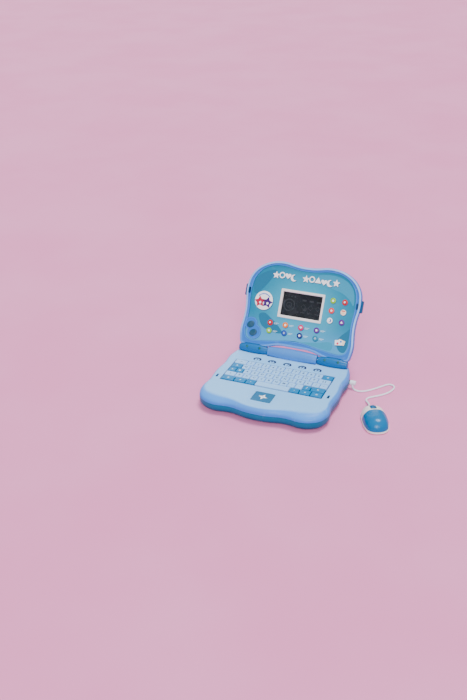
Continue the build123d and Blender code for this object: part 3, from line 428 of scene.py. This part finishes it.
def paint_nodes():
    """Gives every CAD node its material."""
    by_slot = {row["node"]: row["material_slot"] for row in frame["record"]["subparts"]}
    special = {"lid_back_shell": "lid_back", "carry_handle": "handle_blue", "latch_left": "latch_blue",
               "latch_right": "latch_blue", "mouse_wheel": "wheel_blue"}
    for name, obj in NODES.items():
        material = MATERIALS[special.get(name, by_slot[name])]
        if not obj.material_slots:
            obj.data.materials.append(material)
        for entry in obj.material_slots:
            entry.link = "OBJECT"
            entry.material = material


# ---- mesh pieces -----------------------------------------------------------------------
class Piece:
    """Collects faces, in millimetres of a local frame, for one mesh object."""

    def __init__(self):
        self.verts, self.faces, self.inks, self.names = [], [], [], []

    def add(self, verts, faces, ink):
        start = len(self.verts)
        if ink not in self.names:
            self.names.append(ink)
        self.verts += verts
        for face in faces:
            self.faces.append([start + i for i in face])
            self.inks.append(self.names.index(ink))

    def plate(self, outline, low, high, ink, edge=0.12):
        """A closed outline, counter-clockwise, as a thin plate with a small rounded edge."""
        count = len(outline)
        inner = shrunk(outline, edge)
        rings = [(outline, low), (outline, high - edge), (inner, high)]
        verts = [(x, y, z) for ring, z in rings for x, y in ring]
        faces = [[2 * count + i for i in range(count)], [i for i in reversed(range(count))]]
        for level in (0, 1):
            for i in range(count):
                j = (i + 1) % count
                low_i, low_j = level * count + i, level * count + j
                faces.append([low_i, low_j, low_j + count, low_i + count])
        self.add(verts, faces, ink)

    def dome(self, x, y, radius, base, rim, height, ink, segments=40, rings=6):
        """A round button: an upright rim of that height, then a low dome."""
        verts, faces = [], []
        levels = [(radius, base)]
        for ring in range(rings):
            turn = math.pi / 2 * ring / rings
            levels.append((radius * math.cos(turn), base + rim + height * math.sin(turn)))
        for r, z in levels:
            for k in range(segments):
                turn = 2 * math.pi * k / segments
                verts.append((x + r * math.cos(turn), y + r * math.sin(turn), z))
        for level in range(len(levels) - 1):
            for k in range(segments):
                j = (k + 1) % segments
                a, b = level * segments + k, level * segments + j
                faces.append([a, b, b + segments, a + segments])
        verts.append((x, y, base + rim + height))
        top = (len(levels) - 1) * segments
        faces += [[top + k, top + (k + 1) % segments, len(verts) - 1] for k in range(segments)]
        faces.append([k for k in reversed(range(segments))])
        self.add(verts, faces, ink)

    def build(self, name, matrix, body, slot_name):
        mesh = bpy.data.meshes.new(name)
        mesh.from_pydata([[c * MM for c in v] for v in self.verts], [], self.faces)
        for ink in self.names:
            mesh.materials.append(MATERIALS[ink])
        mesh.polygons.foreach_set("material_index", self.inks)
        mesh.shade_smooth()
        mesh.set_sharp_from_angle(angle=math.radians(40))
        mesh.validate()
        obj = bpy.data.objects.new(name, mesh)
        bpy.context.scene.collection.objects.link(obj)
        obj.matrix_world = matrix
        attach(obj, body)
        return obj


def shrunk(outline, distance):
    """The outline with each corner moved inward."""
    moved = []
    for i, (x, y) in enumerate(outline):
        ax, ay = outline[i - 1]
        bx, by = outline[(i + 1) % len(outline)]
        before, after = Vector((x - ax, y - ay)), Vector((bx - x, by - y))
        before.normalize()
        after.normalize()
        share = distance / max(1 + before.dot(after), 0.3)
        moved.append((x - share * (before.y + after.y), y + share * (before.x + after.x)))
    return moved


def circle(x, y, radius, count=40):
    """A round outline."""
    return [(x + radius * math.cos(2 * math.pi * k / count), y + radius * math.sin(2 * math.pi * k / count))
            for k in range(count)]


def box_outline(x, y, width, depth, turn=0.0, corner=0.0, steps=5):
    """A rectangle with rounded corners, turned about its middle."""
    points = []
    for cx, cy, first in ((1, -1, -90), (1, 1, 0), (-1, 1, 90), (-1, -1, 180)):
        if not corner:
            points.append((cx * width / 2, cy * depth / 2))
            continue
        for k in range(steps + 1):
            angle = math.radians(first + 90 * k / steps)
            points.append((cx * (width / 2 - corner) + corner * math.cos(angle),
                           cy * (depth / 2 - corner) + corner * math.sin(angle)))
    return turned(points, x, y, turn)


def turned(points, x, y, turn):
    """The points turned by that many degrees about the origin, then moved by x and y."""
    c, s = math.cos(math.radians(turn)), math.sin(math.radians(turn))
    return [(x + c * px - s * py, y + s * px + c * py) for px, py in points]


def star(x, y, outer, inner, points, turn=90.0):
    """A star outline with that many points."""
    made = []
    for k in range(2 * points):
        radius = inner if k % 2 else outer
        angle = math.radians(turn + 180 * k / points)
        made.append((x + radius * math.cos(angle), y + radius * math.sin(angle)))
    return made


def heart(x, y, size, turn=0.0):
    """A heart outline, twice size across."""
    made = []
    for k in range(28):
        t = 2 * math.pi * k / 28
        px = 16 * math.sin(t) ** 3
        py = 13 * math.cos(t) - 5 * math.cos(2 * t) - 2 * math.cos(3 * t) - math.cos(4 * t)
        made.append((-px * size / 16, (py + 2) * size / 16))
    return turned(made, x, y, turn)


def crescent(x, y, size, turn=0.0, count=18):
    """A moon: a round outline with a round bite out of one side."""
    bite, offset = 0.8, 0.5
    tip = math.acos((1 + offset ** 2 - bite ** 2) / (2 * offset))
    bite_tip = math.atan2(math.sin(tip), math.cos(tip) - offset)
    points = []
    for k in range(count + 1):
        angle = tip + (2 * math.pi - 2 * tip) * k / count
        points.append((size * math.cos(angle), size * math.sin(angle)))
    for k in range(1, count):
        angle = 2 * math.pi - bite_tip - (2 * math.pi - 2 * bite_tip) * k / count
        points.append((size * (offset + bite * math.cos(angle)), size * bite * math.sin(angle)))
    return turned(points, x, y, turn)


def smooth_outline(points, steps=8):
    """A closed smooth curve through given points."""
    made = []
    count = len(points)
    for i in range(count):
        p0, p1, p2, p3 = [Vector(points[(i + k) % count]) for k in (-1, 0, 1, 2)]
        for k in range(steps):
            t = k / steps
            made.append(tuple(0.5 * ((2 * p1) + (p2 - p0) * t + (2 * p0 - 5 * p1 + 4 * p2 - p3) * t * t
                                     + (3 * p1 - p0 - 3 * p2 + p3) * t ** 3)))
    area = sum(made[i - 1][0] * made[i][1] - made[i][0] * made[i - 1][1] for i in range(len(made)))
    return made if area > 0 else made[::-1]


# ---- the lid's printed face ------------------------------------------------------------
SWIRLS = [
    ("swirl", [(-97, 108), (-99, 124), (-90, 139), (-74, 149), (-58, 152), (-63, 140), (-70, 128),
               (-80, 114), (-90, 104)]),
    ("swirl", [(-79, 65), (-68, 70), (-54, 62), (-40, 52), (-28, 38), (-44, 36), (-60, 40), (-72, 48)]),
    ("swirl_pale", [(22, 151), (40, 157), (62, 156), (80, 149), (92, 137), (97, 121), (97, 108), (88, 118),
                    (72, 128), (48, 135)]),
    ("swirl", [(100, 66), (93, 60), (82, 48), (78, 36), (84, 24), (94, 21), (99.5, 32), (99.6, 50)]),
    ("swirl_pale", [(-20, 24.6), (12, 27.5), (40, 31), (66, 36), (72, 28), (66, 20.5), (40, 23), (10, 27)]),
]


def swirls():
    """The wavy patches of the panel's print, each a little above the one before."""
    piece = Piece()
    for layer, (ink, points) in enumerate(SWIRLS):
        piece.plate(smooth_outline(points), PRINT_LOW, PANEL_TOP + 0.06 + 0.01 * layer, ink, 0.03)
    piece.build("panel_swirls", LID, "lid", "printed_panel")


ICONS = [
    (-54, 53.5, "red", "square"), (-24, 53.5, "orange", "circle"), (6.5, 53.5, "magenta", "heart"),
    (37, 53.5, "purple", "star"), (-54, 38.5, "lime", "star"), (-24, 38.5, "royal", "bars"),
    (6.5, 38.5, "navy", "circle"), (37, 38.5, "teal", "bars"), (58.5, 112, "lime", "circle"),
    (81, 112, "red", "square"), (58.5, 93.5, "coral", "star"), (81, 93.5, "cream", "bars_red"),
    (58.5, 75, "white", "moon"), (81, 75, "purple", "triangle"),
]
ICON_RADIUS = 5.3
LABELLED_BELOW = 60         # icons lower than this up the lid have a label of two bars


def icon_mark(piece, x, s, kind, low, high):
    """A small plain mark on an icon."""
    if kind == "square":
        piece.plate(box_outline(x - 0.6, s + 0.4, 3.2, 3.2, 12, 0.6), low, high, "white")
        piece.plate(box_outline(x + 1.6, s - 1.4, 2.0, 2.0, 12, 0.4), low, high + 0.05, "navy")
    elif kind == "circle":
        piece.plate(circle(x, s, 2.1, 24), low, high, "white")
    elif kind == "heart":
        piece.plate(heart(x, s, 2.5), low, high, "white")
    elif kind == "star":
        piece.plate(star(x, s, 3.0, 1.4, 5), low, high, "white")
    elif kind == "bars":
        for offset in (-1.4, 0.0, 1.4):
            piece.plate(box_outline(x, s + offset, 4.4 - abs(offset), 0.7, 0, 0.3), low, high, "legend_pale")
    elif kind == "bars_red":
        piece.plate(box_outline(x, s + 2.6, 6.4, 2.0, 0, 0.6), low - 0.2, high, "coral")
        piece.plate(box_outline(x, s - 0.8, 3.6, 0.8, 0, 0.3), low, high, "orange")
    elif kind == "moon":
        piece.plate(crescent(x, s + 0.3, 3.0, 180), low, high, "royal")
    elif kind == "triangle":
        piece.plate(star(x, s - 0.2, 3.0, 1.5, 3), low, high, "white")


def icons():
    """The round raised icons, with their printed shadows and labels."""
    piece, shadow = Piece(), Piece()
    label_start, label_thick = 7.6, 0.7
    for x, s, ink, kind in ICONS:
        shade = circle(x + 0.9, s - 1.0, ICON_RADIUS, 32)
        shadow.plate(shade, PRINT_LOW, PANEL_TOP + 0.13, "shadow", 0.04)
        piece.dome(x, s, ICON_RADIUS, PANEL_TOP - 0.1, 0.25, 0.62, ink)
        icon_mark(piece, x, s, kind, PANEL_TOP + 0.3, PANEL_TOP + 0.86)
        if s < LABELLED_BELOW:
            for row, width in ((0.9, 9.0), (-0.9, 6.5)):
                bar = box_outline(x + label_start + width / 2, s + row, width, label_thick, 0, 0.3)
                shadow.plate(bar, PRINT_LOW, PANEL_TOP + 0.12, "legend_pale", 0.03)
    piece.build("panel_icons", LID, "lid", "white_plastic")
    shadow.build("panel_icon_prints", LID, "lid", "printed_panel")


def badge():
    """The round white badge with two plain stars and an arc of dots."""
    piece = Piece()
    x, s, radius = -74.0, 92.5, 17.8
    arc_radius, dots = 13.4, 9
    piece.plate(circle(x + 1.2, s - 1.2, radius + 0.2, 56), PRINT_LOW, PANEL_TOP + 0.14, "shadow", 0.05)
    piece.plate(circle(x, s, radius, 56), PRINT_LOW, PANEL_TOP + 0.5, "white", 0.25)
    top = PANEL_TOP + 0.42
    for ink, dx, turn in (("crimson", -7.2, 98), ("violet", 7.4, 82)):
        shape = smooth_outline(star(x + dx, s - 3.0, 10.6, 6.2, 5, turn), 4)
        piece.plate(shape, top, PANEL_TOP + 0.62, ink, 0.05)
        piece.plate(circle(x + dx + 0.6, s - 4.6, 2.3, 24), top, PANEL_TOP + 0.7, "white", 0.05)
    for k in range(dots):
        angle = math.radians(138 - 96 * k / (dots - 1))
        dot = circle(x + arc_radius * math.cos(angle), s + arc_radius * math.sin(angle) - 0.6, 1.3, 16)
        piece.plate(dot, top, PANEL_TOP + 0.62, "sky", 0.05)
    piece.build("panel_badge", LID, "lid", "white_plastic")


def title_shapes():
    """A row of plain white shapes across the top of the panel, each with a dark shadow print."""
    piece = Piece()
    start, pitch, height, wave = -58, 11.7, 143.2, 1.4
    kinds = ("star", "ring", "heart", "moon", "gap", "star", "ring", "triangle", "heart", "moon", "star")
    for k, kind in enumerate(kinds):
        x = start + pitch * k
        s = height + wave * math.sin(k * 1.3)
        for dx, ds, ink, top in ((1.0, -1.2, "shadow", 0.14), (0, 0, "white", 0.32)):
            cx, cs, high = x + dx, s + ds, PANEL_TOP + top
            if kind == "star":
                piece.plate(star(cx, cs, 7.4, 3.4, 5), PRINT_LOW, high, ink, 0.05)
            elif kind == "ring":
                ring(piece, cx, cs, 5.9, 3.6, PRINT_LOW, high, ink)
            elif kind == "heart":
                piece.plate(heart(cx, cs, 5.8), PRINT_LOW, high, ink, 0.05)
            elif kind == "moon":
                piece.plate(crescent(cx, cs, 6.4, 20), PRINT_LOW, high, ink, 0.05)
            elif kind == "triangle":
                piece.plate(star(cx, cs - 0.6, 7.2, 3.6, 3), PRINT_LOW, high, ink, 0.05)
    piece.build("panel_title_shapes", LID, "lid", "printed_panel")


def ring(piece, x, y, outer, inner, low, high, ink, count=36):
    """A flat ring."""
    verts, faces = [], []
    for radius, z in ((outer, low), (outer, high), (inner, high), (inner, low)):
        verts += [(px, py, z) for px, py in circle(x, y, radius, count)]
    for level in range(4):
        for k in range(count):
            j = (k + 1) % count
            a, b = level * count, (level + 1) % 4 * count
            faces.append([a + k, a + j, b + j, b + k])
    piece.add(verts, faces, ink)


def cards():
    """The small white cards in the panel's lower corner."""
    piece = Piece()
    piece.plate(box_outline(84.6, 36.6, 17, 9.6, 7, 0.8), PRINT_LOW, PANEL_TOP + 0.14, "shadow", 0.04)
    piece.plate(box_outline(87.0, 39.6, 13, 8.8, -14, 0.8), PRINT_LOW, PANEL_TOP + 0.24, "cream", 0.05)
    piece.plate(box_outline(82.0, 38.2, 14, 9.6, 8, 0.8), PRINT_LOW, PANEL_TOP + 0.34, "white", 0.05)
    piece.plate(circle(80.4, 36.4, 2.1, 20), PRINT_LOW, PANEL_TOP + 0.42, "pink", 0.05)
    piece.plate(box_outline(86.0, 40.6, 3.4, 3.0, 8, 0.3), PRINT_LOW, PANEL_TOP + 0.42, "sky", 0.05)
    piece.build("panel_cards", LID, "lid", "printed_panel")


def lcd_ghosts():
    """The faint unlit segments of the display."""
    piece = Piece()
    low, high = -0.62, -0.5
    for outer, inner in ((11.5, 9.6), (5.4, 4.2)):
        ring(piece, -24, DISPLAY_S, outer, inner, low, high, "lcd_ghost")
    for k in range(3):
        x = 4 + 14 * k
        ring(piece, x, DISPLAY_S, 5.0, 4.0, low, high, "lcd_ghost", 4)
        piece.plate(box_outline(x, 81.5, 9, 1.2), low, high, "lcd_ghost", 0.02)
        piece.plate(box_outline(x, 104, 8, 3.0), low, high, "lcd_ghost", 0.02)
    for k in range(4):
        piece.plate(box_outline(-33 + 6 * k, 108, 3.4, 1.6), low, high, "lcd_ghost", 0.02)
    piece.build("lcd_ghosts", LID, "lid", "lcd_dark")


# ---- prints on the base ----------------------------------------------------------------
def base_prints_and_gap_shadow():
    """Five round picture prints behind the keyboard, and a thin dark line round it, which is painted shadow
    for the gap round the keyboard.
    """
    piece = Piece()
    low, high, ink = PLATEAU_TOP - 0.05, PLATEAU_TOP + 0.1, "print_purple"
    y, line, margin = -28.5, 0.55, 1.0
    for index, x in enumerate((-59, -30, 0, 29, 58)):
        for k in range(9):
            angle = math.radians(200 - 220 * k / 8)
            dot = circle(x + 6.2 * math.cos(angle), y + 4.8 * math.sin(angle), 1.9, 14)
            piece.plate(dot, low, high, ink, 0.03)
        marks = (star(x, y + 0.4, 2.8, 1.3, 5), heart(x, y + 0.3, 2.4), crescent(x, y + 0.3, 2.6, 180),
                 star(x, y + 0.4, 2.8, 1.5, 4), circle(x, y + 0.4, 2.0, 20))
        piece.plate(marks[index], low, high + 0.02, ink, 0.03)
        for k in range(3):
            piece.plate(box_outline(x - 3.6 + 3.6 * k, y - 4.4, 2.2, 1.0, 0, 0.3), low, high, ink, 0.03)
    # Painted shadow: a thin dark line round the keyboard's well, where only the gap's shade falls.
    side = ROW_UNITS / 2 * KEY_UNIT + margin
    front = KEYBOARD_Y - ROWS / 2 * ROW_PITCH - margin
    rear = KEYBOARD_Y + ROWS / 2 * ROW_PITCH + margin
    for edge in (front, rear):
        piece.plate(box_outline(0, edge, 2 * side, line, 0, 0.2), low, high, ink, 0.03)
    for edge in (-side, side):
        piece.plate(box_outline(edge, (front + rear) / 2, line, rear - front, 0, 0.2), low, high, ink, 0.03)
    piece.build("base_prints_and_gap_shadow", Matrix.Identity(4), "base", "base_light_blue")


def touchpad_star():
    """The white star with a dot on the touchpad, and a fine ring hidden below the surfaces."""
    piece = Piece()
    top = PLATEAU_TOP + 0.3
    piece.plate(star(0, TOUCHPAD_Y, 8.4, 3.4, 4, 80), top - 0.05, top + 0.12, "white", 0.04)
    piece.plate(circle(0, TOUCHPAD_Y, 1.3, 18), top - 0.05, top + 0.16, "sky", 0.03)
    ring(piece, 0, TOUCHPAD_Y, 20.6, 20.2, top - 0.4, top - 0.35, "legend_pale")
    piece.build("touchpad_star", Matrix.Identity(4), "touchpad_button", "touchpad_teal")


# ---- key legends -----------------------------------------------------------------------
def key_plans():
    """Every key as (node, middle x, middle y, legend), as the CAD lays them out."""
    letters = [1.0] * 10
    plans = [
        [("number_keys", [1.65] + letters, ["~"] + list("1234567890")), ("key_erase", [1.35], ["<"])],
        [("key_tab", [1.4], [">"]), ("upper_letter_keys", letters + [1.6], list("QWERTYUIOP") + ["[ ]"])],
        [("key_left_a", [1.0], ["^"]), ("key_left_b", [1.0], ["#"]),
         ("middle_letter_keys", letters + [1.0], list("ASDFGHJKL;") + ["'"])],
        [("lower_letter_keys", [1.4] + [8.8 / 9] * 9, ["+"] + list("ZXCVBNM,.")),
         ("key_right_a", [1.0], ["/"]), ("key_right_b", [1.8], ["="])],
        [("key_bottom_1", [1.7], ["o"]), ("key_bottom_2", [1.5], ["*"]), ("key_bottom_3", [1.25], ["-"]),
         ("space_bar", [4.4], [""]), ("key_bottom_4", [1.25], ["-"]), ("key_bottom_5", [1.45], ["*"]),
         ("key_bottom_6", [1.45], ["o"])],
    ]
    for number, plan in enumerate(plans):
        edge = 0.0
        for node, widths, legends in plan:
            for width, legend in zip(widths, legends):
                x = (edge + width / 2 - ROW_UNITS / 2) * KEY_UNIT
                yield node, x, KEYBOARD_Y + ((ROWS - 1) / 2 - number) * ROW_PITCH, legend
                edge += width


def legends():
    """Raised legends on the keys: one mesh for each key node."""
    pieces = {}
    for node, x, y, legend in key_plans():
        if not legend:
            continue
        light = "letter" in node or "number" in node
        piece = pieces.setdefault(node, Piece())
        text = bpy.data.curves.new("legend", "FONT")
        text.body, text.size, text.extrude, text.offset = legend, 6.8, 0.06, 0.16
        text.align_x, text.align_y = "CENTER", "CENTER"
        holder = bpy.data.objects.new("legend", text)
        bpy.context.scene.collection.objects.link(holder)
        mesh = bpy.data.meshes.new_from_object(holder)
        middle_y = 0.5 * (min(v.co.y for v in mesh.vertices) + max(v.co.y for v in mesh.vertices))
        verts = [(v.co.x + x, v.co.y - middle_y + y, v.co.z + KEY_TOP) for v in mesh.vertices]
        piece.add(verts, [list(p.vertices) for p in mesh.polygons], "legend" if light else "legend_pale")
        bpy.data.objects.remove(holder)
        bpy.data.meshes.remove(mesh)
        bpy.data.curves.remove(text)
    for node, piece in pieces.items():
        piece.build("legend_" + node, Matrix.Identity(4), node, "light_key")


# ---- the mouse cord and the latch springs ----------------------------------------------
def tube_faces(rings, sides):
    """The faces of a closed tube whose rings of points follow each other."""
    faces = []
    for i in range(rings - 1):
        for k in range(sides):
            j = (k + 1) % sides
            faces.append([i * sides + k, i * sides + j, (i + 1) * sides + j, (i + 1) * sides + k])
    faces.append([k for k in reversed(range(sides))])
    faces.append([(rings - 1) * sides + k for k in range(sides)])
    return faces


def latch_spring(side):
    """The coiled wire spring behind a latch, as one fixed coil in the CAD spring's place."""
    turns, steps, sides, wire, kept = 5, 24, 10, 0.28 * MM, 0.78
    name = "spring_coil_" + side
    low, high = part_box("latch_spring_" + side)
    middle = (Vector(low) + Vector(high)) / 2
    radius, length = (high[2] - low[2]) / 2 - wire, high[0] - low[0] - 2 * wire
    count = turns * steps
    verts = []
    for i in range(count + 1):
        turn = 2 * math.pi * i / steps
        spoke = Vector((0, math.cos(turn), math.sin(turn)))
        centre = middle + spoke * radius + Vector((length * (i / count - 0.5), 0, 0))
        for k in range(sides):
            angle = 2 * math.pi * k / sides
            verts.append(centre + spoke * wire * math.cos(angle) - Vector((wire * math.sin(angle), 0, 0)))
    mesh = bpy.data.meshes.new(name)
    mesh.from_pydata(verts, [], tube_faces(count + 1, sides))
    mesh.materials.append(MATERIALS["steel"])
    mesh.shade_smooth()
    obj = bpy.data.objects.new(name, mesh)
    bpy.context.scene.collection.objects.link(obj)
    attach(obj, "lid")
    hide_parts("latch_spring_" + side)
    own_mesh(obj)


def cord_line():
    """The cord's middle line from the mouse to the plug, as its NURBS spline gives it."""
    curve = bpy.data.curves.new("cord_line", "CURVE")
    curve.dimensions = "3D"
    spline = curve.splines.new("NURBS")
    route = CORD_ROUTE[::-1]
    spline.points.add(len(route) - 1)
    for point, (x, y, z) in zip(spline.points, route):
        point.co = (x * MM, y * MM, z * MM, 1)
    spline.order_u = 3
    spline.use_endpoint_u = True
    spline.resolution_u = 8
    holder = bpy.data.objects.new("cord_line", curve)
    bpy.context.scene.collection.objects.link(holder)
    mesh = bpy.data.meshes.new_from_object(holder)
    points = [v.co.copy() for v in mesh.vertices]
    bpy.data.objects.remove(holder)
    bpy.data.meshes.remove(mesh)
    bpy.data.curves.remove(curve)
    return points


def cord():
    """The thin round cord, which bends between the base and the mouse."""
    points = cord_line()
    sides, radius = 14, CORD_RADIUS * MM
    verts = []
    across = Vector((0, 0, 1))
    for i, point in enumerate(points):
        ahead = points[min(i + 1, len(points) - 1)] - points[max(i - 1, 0)]
        ahead.normalize()
        across = (across - ahead * across.dot(ahead)).normalized()
        other = ahead.cross(across)
        for k in range(sides):
            turn = 2 * math.pi * k / sides
            verts.append(point + (across * math.cos(turn) + other * math.sin(turn)) * radius)
    mesh = bpy.data.meshes.new("mouse_lead")
    mesh.from_pydata(verts, [], tube_faces(len(points), sides))
    mesh.materials.append(MATERIALS["cord_grey"])
    mesh.shade_smooth()
    mesh.set_sharp_from_angle(angle=math.radians(60))
    obj = bpy.data.objects.new("mouse_lead", mesh)
    bpy.context.scene.collection.objects.link(obj)
    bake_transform(obj)
    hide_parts("mouse_cord")


# ---- floor and light -------------------------------------------------------------------
def floor():
    """A plain pale pink floor, just below the object's feet."""
    s = Shader("floor")
    slow = s.noise(3)
    s.set(Base_Color=s.mix(s.range(slow, 0.3, 0.7), colour("E888BB"), colour("EB90C1")))
    s.set(Roughness=0.7, Specular_IOR_Level=0.2)
    mesh = bpy.data.meshes.new("floor")
    size, z = 6.0, -0.0002
    corners = [(-size, -size, z), (size, -size, z), (size, size, z), (-size, size, z)]
    mesh.from_pydata(corners, [], [[0, 1, 2, 3]])
    mesh.materials.append(s.material)
    obj = bpy.data.objects.new("floor", mesh)
    bpy.context.scene.collection.objects.link(obj)


def sun(name, direction, power, spread):
    """A soft distant light that comes from that direction."""
    data = bpy.data.lights.new(name, "SUN")
    data.energy = power
    data.angle = math.radians(spread)
    obj = bpy.data.objects.new(name, data)
    obj.rotation_euler = (-Vector(direction)).to_track_quat("-Z", "Y").to_euler()
    bpy.context.scene.collection.objects.link(obj)


def lights():
    """Soft studio light: an even world, and three wide suns."""
    world = bpy.data.worlds.new("studio")
    world.use_nodes = True
    background = world.node_tree.nodes["Background"]
    background.inputs["Color"].default_value = (0.96, 0.98, 1.0, 1)
    background.inputs["Strength"].default_value = 0.42
    bpy.context.scene.world = world
    sun("top", (0.1, 0.25, 1.0), 2.9, 22)
    sun("front", (0.3, -0.8, 0.6), 2.8, 30)
    sun("back", (-0.6, 0.9, 0.35), 1.0, 50)


make_camera()
cord()
paint_nodes()
latch_spring("right")
latch_spring("left")
swirls()
icons()
badge()
title_shapes()
cards()
lcd_ghosts()
base_prints_and_gap_shadow()
touchpad_star()
legends()
floor()
lights()
